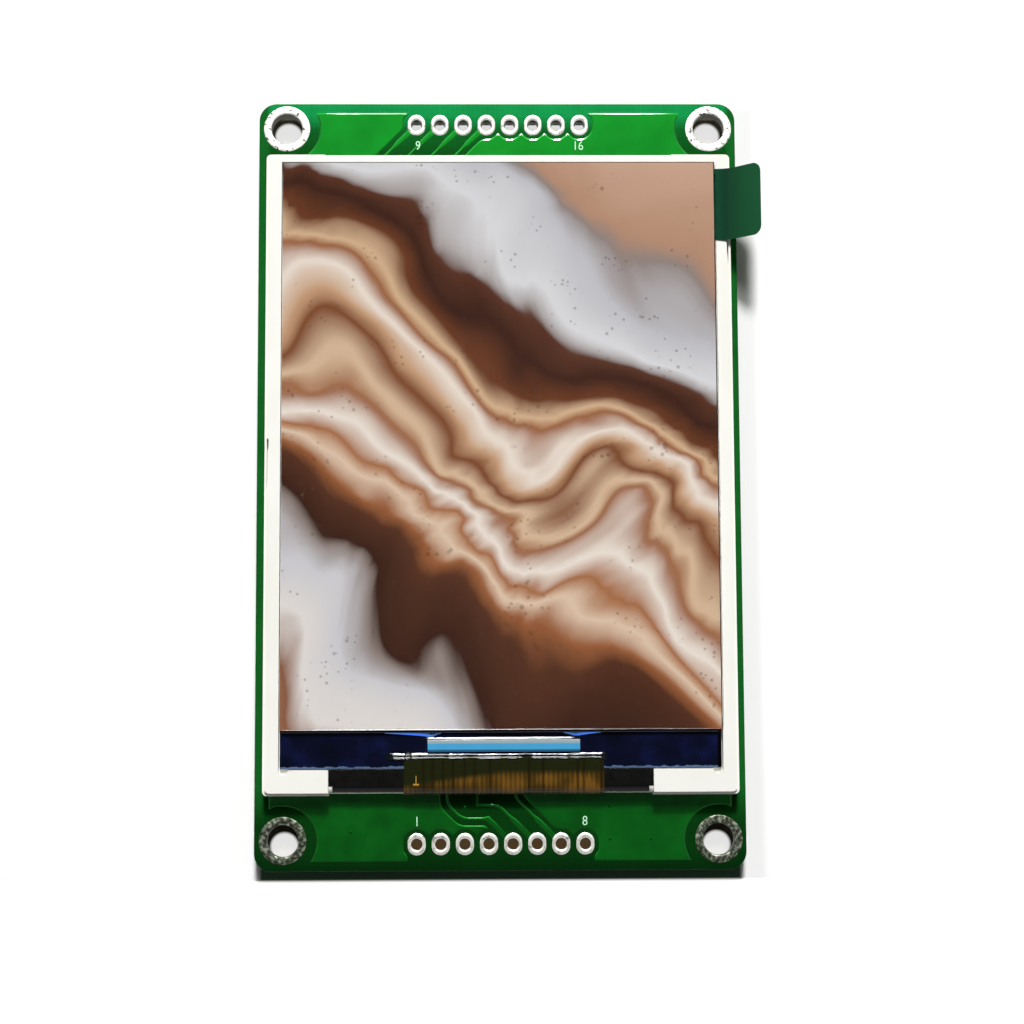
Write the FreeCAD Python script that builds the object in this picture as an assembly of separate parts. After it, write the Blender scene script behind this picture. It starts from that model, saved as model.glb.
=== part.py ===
# A small TFT display module: a lit liquid-crystal display stuck on its carrier board, with two rows of
# plated pin holes and four mounting holes.
# X runs across the board, Y runs along it towards pins 9 to 16, and Z rises out of the display.
# The origin is the middle of the four mounting holes, on the board's rear face. Lengths are in millimetres.
import FreeCAD, Part
import math
import os
from FreeCAD import Vector

# Circuit board: the gaps run from the display's ends to the mounting hole centres, and the margins from
# the centres out to the board's edges
hole_spacing_x = 46.0
hole_gap_lower = 4.68
hole_gap_upper = 3.52
margin_left = 3.0
margin_right = 2.9
margin_lower = 3.2
margin_upper = 2.8
board_thickness = 1.6
board_corner_radius = 1.9

# Copper foil on both faces. Rings and pads are foil on each face round a drilled hole
foil_thickness = 0.035
mount_hole_diameter = 3.4
mount_ring_diameter = 5.0
ring_sides = 16
pin_pitch = 2.54
pins_per_row = 8
pin_row_offset = 0.42
pin_hole_diameter = 1.2
pin_pad_width = 1.9
pin_pad_stretch = 0.3
pad_sides = 8
pad_hole_sides = 12

# Etched pattern: traces leave the pins at 45 degrees on a wide neck and taper to a thin line
trace_width = 0.3
neck_width = 0.6
neck_taper = 0.5
upper_neck_reach = 2.1
lower_neck_reach = 2.4
trace_clearance = 0.55
pin_clearance = 0.45
ring_clearance = 1.1
pour_edge_gap = 1.0
pour_side_gap = 1.5
upper_fan_drop = 5.4
fan_in_rise = 6.3
first_jog_rise = 2.65
first_jog_length = 2.74
second_jog_rise = 4.05
lower_lane_x = (-5.7, -2.7, 1.8)

# Display outline, centred on the board's width
display_width = 50.0
display_height = 68.8

# Foam tape between the board and the display, clear of the flexible circuit
foam_thickness = 0.5
foam_edge_gap = 1.5
foam_flex_gap = 3.0
middle_foam_width = 10.0

# White backlight frame
frame_height = 2.2
frame_corner_radius = 0.5
side_wall = 1.68
upper_wall = 0.9
foot_length = 2.67
seat_width = 0.9
rim_step_width = 0.25
rim_step_depth = 0.35
slit_length = 5.5
slit_width = 0.2
slit_depth = 1.2
left_slit_drop = 33.8
right_slit_drop = 9.3
top_relief_border = 6.3
top_relief_depth = 0.08
corner_relief_radius = 0.5
ear_length = 3.0
ear_depth = 0.45
ear_drop = 17.0

# Stack in the frame, from the back: a white foil, a light guide, three foils, tape, and the display cell
sheet_names = ("diffuser_sheet", "prism_sheet_lower", "prism_sheet_upper")
reflector_thickness = 0.1
guide_thickness = 0.6
sheet_thickness = 0.1
rim_tape_thickness = 0.06
lower_polariser_thickness = 0.14
glass_thickness = 0.45
upper_polariser_thickness = 0.2
film_thickness = 0.06
sheet_gap = 0.12
glass_gap = 0.12
reflector_border = 0.6
tape_border = 0.75
polariser_inset = 0.1
ledge_depth = 3.75
cell_edge_inset = 0.25
film_overhang = 0.35

# Lamps along the lower edge of the light guide
led_count = 4
led_border = 5.5
led_width = 3.8
led_depth = 1.0
led_wall = 0.15
led_lens_depth = 0.3
led_gap = 0.05
led_strip_thickness = 0.1
led_strip_overlap = 0.7
led_strip_border = 1.2
led_end_room = 1.2
led_tail_width = 4.2
led_tail_x = -7.0
led_slot_gap = 0.1

# Driver chip and the flexible circuit that folds round the lower edge
chip_length = 16.0
chip_width = 1.3
chip_height = 0.3
chip_edge_gap = 0.75
chip_bead_gap = 0.15
flex_x = 0.31
flex_width = 21.0
flex_thickness = 0.12
flex_bond = 1.1
fold_clearance = 0.03
fold_setback = 0.07
tail_reach = 12.3
tail_low_run = 2.8
tail_bend_radius = 1.2
flex_corner_cut = 0.4
contact_count = 24
contact_border = 1.3
contact_width = 0.45
contact_length = 2.6
contact_overhang = 0.2
joint_thickness = 0.06
joint_length = 2.0
bead_radius = 0.14
flex_bead_overrun = 0.15
left_shade_length = 7.9
right_shade_length = 5.2
shade_tape_thickness = 0.06
shade_wrap_angle = 60.0

# Pull tab of the protective film
tab_width = 7.85
tab_thickness = 0.08
tab_upper_gap = 0.6
tab_rise_radius = 3.0
tab_rise_angle = 44.0
tab_straight = 3.3
tab_corner_radius = 1.0
tab_gap = 0.02

# Parts in one row on the board's rear
part_row_rise = 12.4
part_row_room = 4.2
solder_thickness = 0.03
capacitor_size = (1.25, 2.0, 0.9)
resistor_size = (0.8, 1.6, 0.45)
terminal_length = 0.35
terminal_lip = 0.02
land_border = 0.15
regulator_body_size = (2.9, 1.6, 1.05)
regulator_lead_counts = (2, 3)
transistor_body_size = (2.9, 1.3, 0.95)
transistor_lead_counts = (1, 2)
body_draft = 0.12
body_lift = 0.08
lead_width = 0.4
lead_thickness = 0.13
lead_pitch = 0.95
lead_exit = 0.14
lead_shank = 0.25
lead_foot = 0.38

# How far a cutting block reaches past the solid that it cuts
cut_past = 1.0

# Heights and edges that follow from the sizes above
hole_spacing_y = hole_gap_lower + display_height + hole_gap_upper
board_left = -hole_spacing_x / 2 - margin_left
board_right = hole_spacing_x / 2 + margin_right
board_lower = -hole_spacing_y / 2 - margin_lower
board_upper = hole_spacing_y / 2 + margin_upper
row_y = hole_spacing_y / 2 + pin_row_offset
pin_x = [(number - (pins_per_row - 1) / 2) * pin_pitch for number in range(pins_per_row)]
copper_top = board_thickness + foil_thickness
display_back = copper_top + foam_thickness
rim_top = display_back + frame_height
guide_back = display_back + reflector_thickness
guide_front = guide_back + guide_thickness
seat_z = guide_front + len(sheet_names) * sheet_thickness
cell_back = seat_z + rim_tape_thickness
glass_back = cell_back + lower_polariser_thickness
glass_front = glass_back + glass_thickness
cell_front = glass_front + glass_thickness
polariser_front = cell_front + upper_polariser_thickness

display_left = -display_width / 2
display_right = display_width / 2
display_lower = hole_gap_lower - hole_spacing_y / 2
display_upper = hole_spacing_y / 2 - hole_gap_upper
pocket_left = display_left + side_wall
pocket_right = display_right - side_wall
pocket_lower = display_lower + foot_length
pocket_upper = display_upper - upper_wall
glass_left = pocket_left + glass_gap
glass_right = pocket_right - glass_gap
glass_lower = pocket_lower + glass_gap
glass_upper = pocket_upper - glass_gap
ledge_y = glass_lower + ledge_depth
aperture_left = pocket_left + seat_width
aperture_right = pocket_right - seat_width
aperture_lower = pocket_lower + seat_width
aperture_upper = pocket_upper - seat_width
flex_left = flex_x - flex_width / 2
flex_right = flex_x + flex_width / 2
foot_left = flex_left - left_shade_length
foot_right = flex_right + right_shade_length
ear_y = display_upper - ear_drop

led_pitch = (aperture_right - aperture_left - 2 * led_border - led_width) / (led_count - 1)
led_back = aperture_lower + led_end_room
led_front = led_back + led_depth
guide_lower = led_front + led_gap
led_strip_upper = guide_lower + led_strip_overlap
sheet_lower = led_strip_upper + sheet_gap

# The fold of the flexible circuit runs round the nose of the frame's lower bar
bar_top = glass_front
nose_radius = (bar_top - display_back) / 2
nose_z = (bar_top + display_back) / 2
fold_radius = nose_radius + flex_thickness / 2
fold_centre_y = display_lower + fold_setback + nose_radius + flex_thickness
nose_centre_y = fold_centre_y + fold_clearance
flex_bond_y = glass_lower + flex_bond
tail_drop = display_back - flex_thickness - copper_top - joint_thickness
tail_end_y = display_lower + tail_reach
contact_pitch = (flex_width - 2 * contact_border) / (contact_count - 1)
contact_x = [flex_left + contact_border + number * contact_pitch for number in range(contact_count)]
contact_upper = tail_end_y + contact_overhang
contact_lower = contact_upper - contact_length

# Columns of the rear parts line up with the pins
part_row_y = part_row_rise - row_y
capacitor_x = (pin_x[0], pin_x[3], pin_x[4])
regulator_x = (pin_x[1] + pin_x[2]) / 2
resistor_x = [pin_x[-3]] + [pin_x[-1] + number * pin_pitch for number in (1, 2, 3)]
transistor_x = (pin_x[-2] + pin_x[-1]) / 2


def save(shape, name):
    """Write one sub-part, in its place, to its own file."""
    shape.exportStep("parts/" + name + ".step")


def block(left, right, lower, upper, back, front):
    """A box between two corners."""
    return Part.makeBox(right - left, upper - lower, front - back, Vector(left, lower, back))


def plate(left, right, lower, upper, back, front, radius):
    """A box with its four upright edges rounded."""
    body = block(left, right, lower, upper, back, front)
    upright = [edge for edge in body.Edges if abs(edge.tangentAt(edge.FirstParameter).z) > 0.9]
    return body.makeFillet(radius, upright)


def round_bar(radius, x, y, back, front):
    """An upright cylinder."""
    return Part.makeCylinder(radius, front - back, Vector(x, y, back))


def prism(points, back, front):
    """An upright prism over a polygon."""
    corners = [Vector(x, y, back) for x, y in points]
    outline = Part.makePolygon(corners + corners[:1])
    return Part.Face(outline).extrude(Vector(0, 0, front - back))


def foil_disc(radius, stretch, sides, x, y, back, front):
    """A disc with straight sides that touch the radius, drawn out along Y by the stretch."""
    step = 2 * math.pi / sides
    corner_radius = radius / math.cos(step / 2)
    points = []
    for number in range(sides):
        angle = (number + 0.5) * step
        shift = math.copysign(stretch / 2, math.sin(angle))
        points.append((x + corner_radius * math.cos(angle), y + corner_radius * math.sin(angle) + shift))
    return prism(points, back, front)


def mitred_outline(path):
    """Corners of a line with mitred bends; each place on the path has two coordinates and a width."""
    normals = []
    for start, end in zip(path[:-1], path[1:]):
        length = math.hypot(end[0] - start[0], end[1] - start[1])
        normals.append(((start[1] - end[1]) / length, (end[0] - start[0]) / length))
    left = []
    right = []
    for (x, y, width), before, after in zip(path, normals[:1] + normals, normals + normals[-1:]):
        reach = width / 2 / (1 + before[0] * after[0] + before[1] * after[1])
        step_x = (before[0] + after[0]) * reach
        step_y = (before[1] + after[1]) * reach
        left.append((x + step_x, y + step_y))
        right.append((x - step_x, y - step_y))
    return left + right[::-1]


def widened(path, width):
    """The same path with one width all along."""
    return [(place[0], place[1], width) for place in path]


def ribbon(moves, thickness, width):
    """A bent strip. It starts at the origin along +X, and each move is a straight length or an arc.

    An arc has a radius on the strip's middle line and an angle, positive towards +Z. The strip is as
    wide as given along Y, half on each side.
    """
    place = Vector()
    heading = 0.0
    sides = {1: [], -1: []}
    ends = []

    def edge_point(middle, angle, side):
        normal = Vector(-math.sin(angle), 0, math.cos(angle))
        return middle + normal * (side * thickness / 2)

    ends.append([edge_point(place, heading, side) for side in sides])
    for radius, amount in moves:
        if radius == 0:
            step = place + Vector(math.cos(heading), 0, math.sin(heading)) * amount
            for side, edges in sides.items():
                start = edge_point(place, heading, side)
                edges.append(Part.LineSegment(start, edge_point(step, heading, side)).toShape())
        else:
            turn = math.radians(amount)
            bend = math.copysign(radius, turn)
            centre = place + Vector(-math.sin(heading), 0, math.cos(heading)) * bend
            for side, edges in sides.items():
                arc = []
                for part_of_turn in (0, 0.5, 1):
                    angle = heading + turn * part_of_turn
                    middle = centre - Vector(-math.sin(angle), 0, math.cos(angle)) * bend
                    arc.append(edge_point(middle, angle, side))
                edges.append(Part.Arc(*arc).toShape())
            heading += turn
            step = centre - Vector(-math.sin(heading), 0, math.cos(heading)) * bend
        place = step
    ends.append([edge_point(place, heading, side) for side in sides])
    closing = [Part.LineSegment(*pair).toShape() for pair in ends]
    outline = Part.Wire(Part.sortEdges(sides[1] + sides[-1] + closing)[0])
    body = Part.Face(outline).extrude(Vector(0, width, 0))
    body.translate(Vector(0, -width / 2, 0))
    return body


def circuit_board():
    """Glass-fibre board with its solder mask, routed to a rounded outline and drilled."""
    board = plate(board_left, board_right, board_lower, board_upper, 0, board_thickness, board_corner_radius)
    low = -cut_past
    high = board_thickness + cut_past
    drills = [round_bar(mount_hole_diameter / 2, x, y, low, high) for x, y in mount_places()]
    drills += [round_bar(pin_hole_diameter / 2, x, y, low, high) for x, y in pin_places(-1) + pin_places(1)]
    return board.cut(Part.makeCompound(drills))


def mount_places():
    """Centres of the four mounting holes."""
    return [(i * hole_spacing_x / 2, j * hole_spacing_y / 2) for i in (-1, 1) for j in (-1, 1)]


def pin_places(row):
    """Centres of one row of pin holes: -1 is the lower row, 1 the upper row."""
    return [(x, row * row_y) for x in pin_x]


def mount_ring(x, y, back, front, border=0):
    """Outline of a mounting hole's ring, grown by a border."""
    return foil_disc(mount_ring_diameter / 2 + border, 0, ring_sides, x, y, back, front)


def pin_pad(x, y, back, front, border=0):
    """Outline of a pin hole's eight-sided pad, grown by a border."""
    return foil_disc(pin_pad_width / 2 + border, pin_pad_stretch, pad_sides, x, y, back, front)


def foil_rings(places, outline, hole_radius, hole_sides):
    """Foil on both faces of the board, round each drilled hole."""
    rings = []
    for x, y in places:
        hole = foil_disc(hole_radius, 0, hole_sides, x, y, -cut_past, board_thickness + cut_past)
        for back, front in ((board_thickness, copper_top), (-foil_thickness, 0)):
            rings.append(outline(x, y, back, front).cut(hole))
    return Part.makeCompound(rings)


def mounting_hole_rings():
    """Tinned rings of the four mounting holes."""
    return foil_rings(mount_places(), mount_ring, mount_hole_diameter / 2, ring_sides)


def pin_pads(row):
    """Tinned pads of one row of pin holes."""
    return foil_rings(pin_places(row), pin_pad, pin_hole_diameter / 2, pad_hole_sides)


def neck(x, y, reach, rise):
    """A trace's start at its pin: a wide neck at 45 degrees towards lower X, and its taper."""
    thin = reach + neck_taper
    return [
        (x, y, neck_width),
        (x - reach, y + rise * reach, neck_width),
        (x - thin, y + rise * thin, trace_width),
    ]


def upper_routes():
    """Paths of the traces of pins 9 to 12: a neck, then a lane down to the first lands of the flex."""
    routes = []
    for x, land_x in zip(pin_x[:4], contact_x):
        lane_x = x - upper_fan_drop
        fan_in_y = contact_upper + fan_in_rise
        line = [
            (lane_x, row_y - upper_fan_drop),
            (lane_x, fan_in_y),
            (land_x, fan_in_y - abs(land_x - lane_x)),
            (land_x, contact_upper),
        ]
        routes.append(neck(x, row_y, upper_neck_reach, -1) + widened(line, trace_width))
    return routes


def lower_routes():
    """Paths of the traces of pins 5 to 7, from their necks up to the nearest lands of the flex."""
    lands = [min(contact_x, key=lambda x: abs(x - lane_x)) for lane_x in lower_lane_x]
    first, second, third = pin_x[-4:-1]
    jog_x = first - first_jog_rise
    jog_y = first_jog_rise - row_y
    jog_end = jog_x - first_jog_length
    first_line = [(jog_end, jog_y), (lands[0], jog_y + jog_end - lands[0]), (lands[0], contact_lower)]
    wide = [(first, -row_y), (jog_x, jog_y)]
    first_route = widened(wide, neck_width) + widened([(jog_x - neck_taper, jog_y)] + first_line, trace_width)
    turn_y = second_jog_rise - row_y
    second_line = [(second - second_jog_rise, turn_y), (lands[1], turn_y), (lands[1], contact_lower)]
    second_route = neck(second, -row_y, lower_neck_reach, 1) + widened(second_line, trace_width)
    third_line = [(lands[2], third - lands[2] - row_y), (lands[2], contact_lower)]
    third_route = neck(third, -row_y, lower_neck_reach, 1) + widened(third_line, trace_width)
    return [first_route, second_route, third_route]


def bare_band(routes, back, front):
    """The ground left bare between the outer traces of a bundle, with a clearance outside them."""
    outer = [widened(route, trace_width + 2 * trace_clearance) for route in (routes[0], routes[-1])]
    sides = [prism(mitred_outline(path), back, front) for path in outer]
    places = [(x, y) for x, y, _ in outer[0] + outer[1][::-1]]
    return prism(places, back, front).fuse(sides)


def ground_pour(openings, back, front):
    """Ground copper over one face, open at its pads, its rings, beyond the pin rows and where given."""
    field = block(
        board_left + pour_side_gap,
        board_right - pour_side_gap,
        board_lower + pour_edge_gap,
        board_upper - pour_edge_gap,
        back,
        front,
    )
    low = back - cut_past
    high = front + cut_past
    rings = [mount_ring(x, y, low, high, ring_clearance) for x, y in mount_places()]
    pads = [pin_pad(x, y, low, high, pin_clearance) for x, y in pin_places(-1) + pin_places(1)]
    end = pin_x[-1] + pin_pad_width / 2
    beyond = [
        block(-end, end, row_y, board_upper, low, high),
        block(-end, end, board_lower, -row_y, low, high),
    ]
    return field.cut(rings + pads + beyond + openings).Solids


def all_pads(back, front):
    """Outlines of all pin pads as one tool."""
    return Part.makeCompound([pin_pad(x, y, back, front) for x, y in pin_places(-1) + pin_places(1)])


def front_copper():
    """Foil on the front: traces, the lands of the flexible circuit, and the ground pour."""
    low = board_thickness
    high = copper_top
    tool_low = low - cut_past
    tool_high = high + cut_past
    half = contact_width / 2
    lands = [block(x - half, x + half, contact_lower, contact_upper, low, high) for x in contact_x]
    pads = all_pads(tool_low, tool_high)
    traces = [prism(mitred_outline(route), low, high).cut(pads) for route in upper_routes() + lower_routes()]
    land_field = block(
        contact_x[0] - contact_pitch,
        contact_x[-1] + contact_pitch,
        contact_lower - trace_clearance,
        contact_upper + trace_clearance,
        tool_low,
        tool_high,
    )
    bands = [bare_band(routes, tool_low, tool_high) for routes in (upper_routes(), lower_routes())]
    return Part.makeCompound(traces + lands + ground_pour([land_field] + bands, low, high))


def rear_routes():
    """Straight rear traces from four pins to the parts in line with them."""
    capacitor_end = capacitor_size[1] / 2 + land_border
    resistor_end = resistor_size[1] / 2 + land_border
    return [
        [(capacitor_x[0], -row_y), (capacitor_x[0], part_row_y - capacitor_end)],
        [(capacitor_x[1], -row_y), (capacitor_x[1], part_row_y - capacitor_end)],
        [(capacitor_x[2], row_y), (capacitor_x[2], part_row_y + capacitor_end)],
        [(resistor_x[0], row_y), (resistor_x[0], part_row_y + resistor_end)],
    ]


def chip_lands(x, size):
    """The two rear lands of a capacitor or resistor."""
    width, length, _ = size
    half = width / 2 + land_border
    lands = []
    for side in (-1, 1):
        inner = side * (length / 2 - terminal_length - land_border)
        outer = side * (length / 2 + land_border)
        lower, upper = sorted((part_row_y + inner, part_row_y + outer))
        lands.append(block(x - half, x + half, lower, upper, -foil_thickness, 0))
    return lands


def lead_places(x, counts):
    """Where each lead of a small moulded part leaves its body: X, and the side it is on.

    The counts are the leads on the upper and the lower side. A side with two leads has none in its middle.
    """
    places = []
    for side, count in zip((1, -1), counts):
        spread = 2 * lead_pitch if count == 2 else lead_pitch
        for number in range(count):
            places.append((x + (number - (count - 1) / 2) * spread, side))
    return places


def lead_lands(x, size, counts):
    """The rear lands under a moulded part's feet."""
    half = (lead_width + land_border) / 2
    lands = []
    for lead_x, side in lead_places(x, counts):
        inner = side * (size[1] / 2 + lead_exit)
        outer = side * (size[1] / 2 + lead_exit + lead_shank + lead_foot + land_border)
        lower, upper = sorted((part_row_y + inner, part_row_y + outer))
        lands.append(block(lead_x - half, lead_x + half, lower, upper, -foil_thickness, 0))
    return lands


def rear_copper():
    """Foil on the rear: the parts' lands, four traces and the ground pour."""
    low = -foil_thickness
    high = 0
    tool_low = low - cut_past
    tool_high = high + cut_past
    lands = []
    for places, size in ((capacitor_x, capacitor_size), (resistor_x, resistor_size)):
        for x in places:
            lands += chip_lands(x, size)
    lands += lead_lands(regulator_x, regulator_body_size, regulator_lead_counts)
    lands += lead_lands(transistor_x, transistor_body_size, transistor_lead_counts)
    pads = all_pads(tool_low, tool_high)
    traces = []
    bands = []
    for route in rear_routes():
        traces.append(prism(mitred_outline(widened(route, trace_width)), low, high).cut(pads))
        band_width = trace_width + 2 * trace_clearance
        bands.append(prism(mitred_outline(widened(route, band_width)), tool_low, tool_high))
    part_field = block(
        capacitor_x[0] - part_row_room / 2,
        resistor_x[-1] + part_row_room / 2,
        part_row_y - part_row_room / 2,
        part_row_y + part_row_room / 2,
        tool_low,
        tool_high,
    )
    return Part.makeCompound(traces + lands + ground_pour([part_field] + bands, low, high))


def foam_tape():
    """Three strips of double-sided foam that hold the display on the board."""
    lower = pocket_lower
    upper = display_upper - foam_edge_gap
    middle_lower = contact_upper + foam_edge_gap
    left = display_left + foam_edge_gap
    right = display_right - foam_edge_gap
    strips = [
        block(left, flex_left - foam_flex_gap, lower, upper, copper_top, display_back),
        block(flex_right + foam_flex_gap, right, lower, upper, copper_top, display_back),
        block(-middle_foam_width / 2, middle_foam_width / 2, middle_lower, upper, copper_top, display_back),
    ]
    return Part.makeCompound(strips)


def sheet_outline(lower, gap, back, front):
    """A backlight sheet: a rectangle in the frame's aperture, with a locating ear on each side."""
    left = aperture_left + gap
    right = aperture_right - gap
    body = block(left, right, lower, aperture_upper - gap, back, front)
    half = ear_length / 2 - gap
    ears = block(left - ear_depth, right + ear_depth, ear_y - half, ear_y + half, back, front)
    return body.fuse(ears).removeSplitter()


def backlight_frame():
    """White moulded frame: a stepped pocket for the stack, two feet, and a bar the flex folds round."""
    frame = plate(
        display_left, display_right, display_lower, display_upper, display_back, rim_top, frame_corner_radius
    )
    high = rim_top + cut_past
    step = rim_step_width
    rim = plate(
        display_left + step,
        display_right - step,
        display_lower + step,
        display_upper - step,
        rim_top - rim_step_depth,
        high,
        frame_corner_radius,
    )
    low = display_back - cut_past
    around = block(
        display_left - cut_past,
        display_right + cut_past,
        display_lower - cut_past,
        display_upper + cut_past,
        rim_top - rim_step_depth,
        high,
    )
    pocket = block(pocket_left, pocket_right, pocket_lower, pocket_upper, seat_z, high)
    aperture = block(aperture_left, aperture_right, aperture_lower, aperture_upper, low, high)
    ears = block(
        aperture_left - ear_depth,
        aperture_right + ear_depth,
        ear_y - ear_length / 2,
        ear_y + ear_length / 2,
        low,
        high,
    )
    recess = block(
        aperture_left - reflector_border,
        aperture_right + reflector_border,
        aperture_lower - reflector_border,
        aperture_upper + reflector_border,
        low,
        guide_back,
    )
    between_feet = block(foot_left, foot_right, display_lower - cut_past, pocket_lower, low, high)
    cuts = [around.cut(rim), pocket, aperture, ears, recess, between_feet]
    for side, corner in ((1, pocket_left), (-1, pocket_right)):
        x = corner + side * corner_relief_radius
        cuts.append(round_bar(corner_relief_radius, x, pocket_lower, seat_z, high))
    for side, edge, drop in ((1, display_left, left_slit_drop), (-1, display_right, right_slit_drop)):
        left, right = sorted((edge + side * step, edge + side * (step + slit_width)))
        y = display_upper - drop
        cuts.append(block(left, right, y - slit_length / 2, y + slit_length / 2, rim_top - slit_depth, high))
    relief = block(
        display_left + top_relief_border,
        display_right - top_relief_border,
        display_upper - top_relief_depth,
        display_upper + cut_past,
        low,
        high,
    )
    cuts.append(relief)
    bar = block(foot_left, foot_right, nose_centre_y, pocket_lower, display_back, bar_top)
    nose = Part.makeCylinder(
        nose_radius, foot_right - foot_left, Vector(foot_left, nose_centre_y, nose_z), Vector(1, 0, 0)
    )
    slot = block(
        led_tail_x - led_tail_width / 2 - led_slot_gap,
        led_tail_x + led_tail_width / 2 + led_slot_gap,
        display_lower - cut_past,
        aperture_lower + cut_past,
        guide_front - led_slot_gap,
        guide_front + led_strip_thickness + led_slot_gap,
    )
    return frame.cut(cuts).fuse([bar, nose]).cut(slot).removeSplitter()


def reflector_sheet():
    """White foil that closes the back of the frame."""
    border = reflector_border - sheet_gap
    return block(
        aperture_left - border,
        aperture_right + border,
        aperture_lower - border,
        aperture_upper + border,
        display_back,
        guide_back,
    )


def light_guide_plate():
    """Clear moulded plate, lit from its lower edge."""
    return sheet_outline(guide_lower, sheet_gap, guide_back, guide_front)


def optical_sheet(level):
    """One of the three foils on the light guide, counted from the back."""
    back = guide_front + level * sheet_thickness
    return sheet_outline(sheet_lower, sheet_gap, back, back + sheet_thickness)


def led_places():
    """Centres of the lamps along X."""
    return [(number - (led_count - 1) / 2) * led_pitch for number in range(led_count)]


def backlight_leds():
    """Side-lit lamp housings, each open towards the light guide."""
    housings = []
    for x in led_places():
        body = block(x - led_width / 2, x + led_width / 2, led_back, led_front, guide_back, guide_front)
        housings.append(body.cut(led_lens(x)))
    return Part.makeCompound(housings)


def led_lens(x):
    """The yellow lens in a lamp's mouth."""
    half = led_width / 2 - 2 * led_wall
    lower = led_front - led_lens_depth
    return block(x - half, x + half, lower, led_front, guide_back + led_wall, guide_front - led_wall)


def led_lenses():
    """Lenses of all lamps."""
    return Part.makeCompound([led_lens(x) for x in led_places()])


def led_strip():
    """Flexible strip that carries the lamps, with a tail through the frame's bar to the main flex."""
    front = guide_front + led_strip_thickness
    body = block(
        aperture_left + led_strip_border,
        aperture_right - led_strip_border,
        aperture_lower + sheet_gap,
        led_strip_upper,
        guide_front,
        front,
    )
    tail_end = nose_centre_y - nose_radius
    half = led_tail_width / 2
    tail = block(
        led_tail_x - half, led_tail_x + half, tail_end, aperture_lower + 2 * sheet_gap, guide_front, front
    )
    return body.fuse(tail).removeSplitter()


def rim_tape():
    """Black tape between the frame's seat and the glass; its window leaves the picture free."""
    body = block(glass_left, glass_right, glass_lower, glass_upper, seat_z, cell_back)
    window = block(
        aperture_left + tape_border,
        aperture_right - tape_border,
        sheet_lower + tape_border,
        aperture_upper - tape_border,
        seat_z - cut_past,
        cell_back + cut_past,
    )
    return body.cut(window)


def lower_polariser():
    """Polariser under the glass."""
    inset = polariser_inset
    return block(
        glass_left + inset, glass_right - inset, ledge_y + inset, glass_upper - inset, cell_back, glass_back
    )


def tft_glass():
    """Rear glass, longer than the front one by the ledge that carries the chip."""
    return block(glass_left, glass_right, glass_lower, glass_upper, glass_back, glass_front)


def colour_filter_glass():
    """Front glass of the display cell."""
    return block(glass_left, glass_right, ledge_y, glass_upper, glass_front, cell_front)


def picture_edges():
    """Edges of the front polariser: left, right, lower, upper."""
    inset = polariser_inset
    return glass_left + inset, glass_right - inset, ledge_y + cell_edge_inset, glass_upper - inset


def upper_polariser():
    """Front polariser, the face on which the picture is seen."""
    left, right, lower, upper = picture_edges()
    return block(left, right, lower, upper, cell_front, polariser_front)


def protective_film():
    """Clear film on the polariser; it overhangs on the right, where its tab is stuck."""
    left, right, lower, upper = picture_edges()
    front = polariser_front + film_thickness
    return block(left, right + film_overhang, lower, upper, polariser_front, front)


def pull_tab():
    """Green tab under the film's overhang, curling up over the frame."""
    _, right, _, upper = picture_edges()
    start = right + tab_gap
    flat = film_overhang - tab_gap
    moves = [(0, flat), (tab_rise_radius, tab_rise_angle), (0, tab_straight)]
    tab = ribbon(moves, tab_thickness, tab_width)
    free_end = tab.BoundBox.XMax
    corners = [
        edge
        for edge in tab.Edges
        if edge.Length < 2 * tab_thickness and free_end - edge.BoundBox.Center.x < tab_thickness
    ]
    tab = tab.makeFillet(tab_corner_radius, corners)
    tab.translate(Vector(start, upper - tab_upper_gap - tab_width / 2, polariser_front - tab_thickness / 2))
    return tab


def driver_chip():
    """Bare silicon driver bonded face down on the ledge."""
    upper = ledge_y - chip_edge_gap
    return block(
        flex_x - chip_length / 2,
        flex_x + chip_length / 2,
        upper - chip_width,
        upper,
        glass_front,
        glass_front + chip_height,
    )


def bead(left, right, y):
    """A half-round bead of clear resin on the ledge."""
    bar = Part.makeCylinder(bead_radius, right - left, Vector(left, y, glass_front), Vector(1, 0, 0))
    below = block(left, right, y - bead_radius, y + bead_radius, glass_front - bead_radius, glass_front)
    return bar.cut(below)


def ledge_seal():
    """Beads of clear resin above the driver chip and along the edge of the bonded flex."""
    chip_side = ledge_y - chip_edge_gap + chip_bead_gap + bead_radius
    flex_side = flex_bond_y + bead_radius
    beads = [
        bead(flex_x - chip_length / 2, flex_x + chip_length / 2, chip_side),
        bead(flex_left - flex_bead_overrun, flex_right + flex_bead_overrun, flex_side),
    ]
    return Part.makeCompound(beads)


def flex_circuit():
    """Flexible circuit: bonded on the ledge, folded round the bar, and led back to lands on the board."""
    top_run = flex_bond_y - fold_centre_y
    bend_angle = math.degrees(math.acos(1 - tail_drop / (2 * tail_bend_radius)))
    bend_run = 2 * tail_bend_radius * math.sin(math.radians(bend_angle))
    flat_run = tail_end_y - tail_low_run - bend_run - fold_centre_y
    moves = [
        (0, top_run),
        (fold_radius, -180),
        (0, flat_run),
        (tail_bend_radius, bend_angle),
        (tail_bend_radius, -bend_angle),
        (0, tail_low_run),
    ]
    flex = ribbon(moves, flex_thickness, flex_width)
    corners = [
        edge
        for edge in flex.Edges
        if abs(edge.Length - flex_thickness) < flex_thickness / 10
        and abs(abs(edge.BoundBox.Center.y) - flex_width / 2) < flex_thickness / 10
    ]
    flex = flex.makeChamfer(flex_corner_cut, corners)
    flex.rotate(Vector(), Vector(0, 0, 1), -90)
    flex.translate(Vector(flex_x, flex_bond_y, glass_front + flex_thickness / 2))
    return flex


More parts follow.
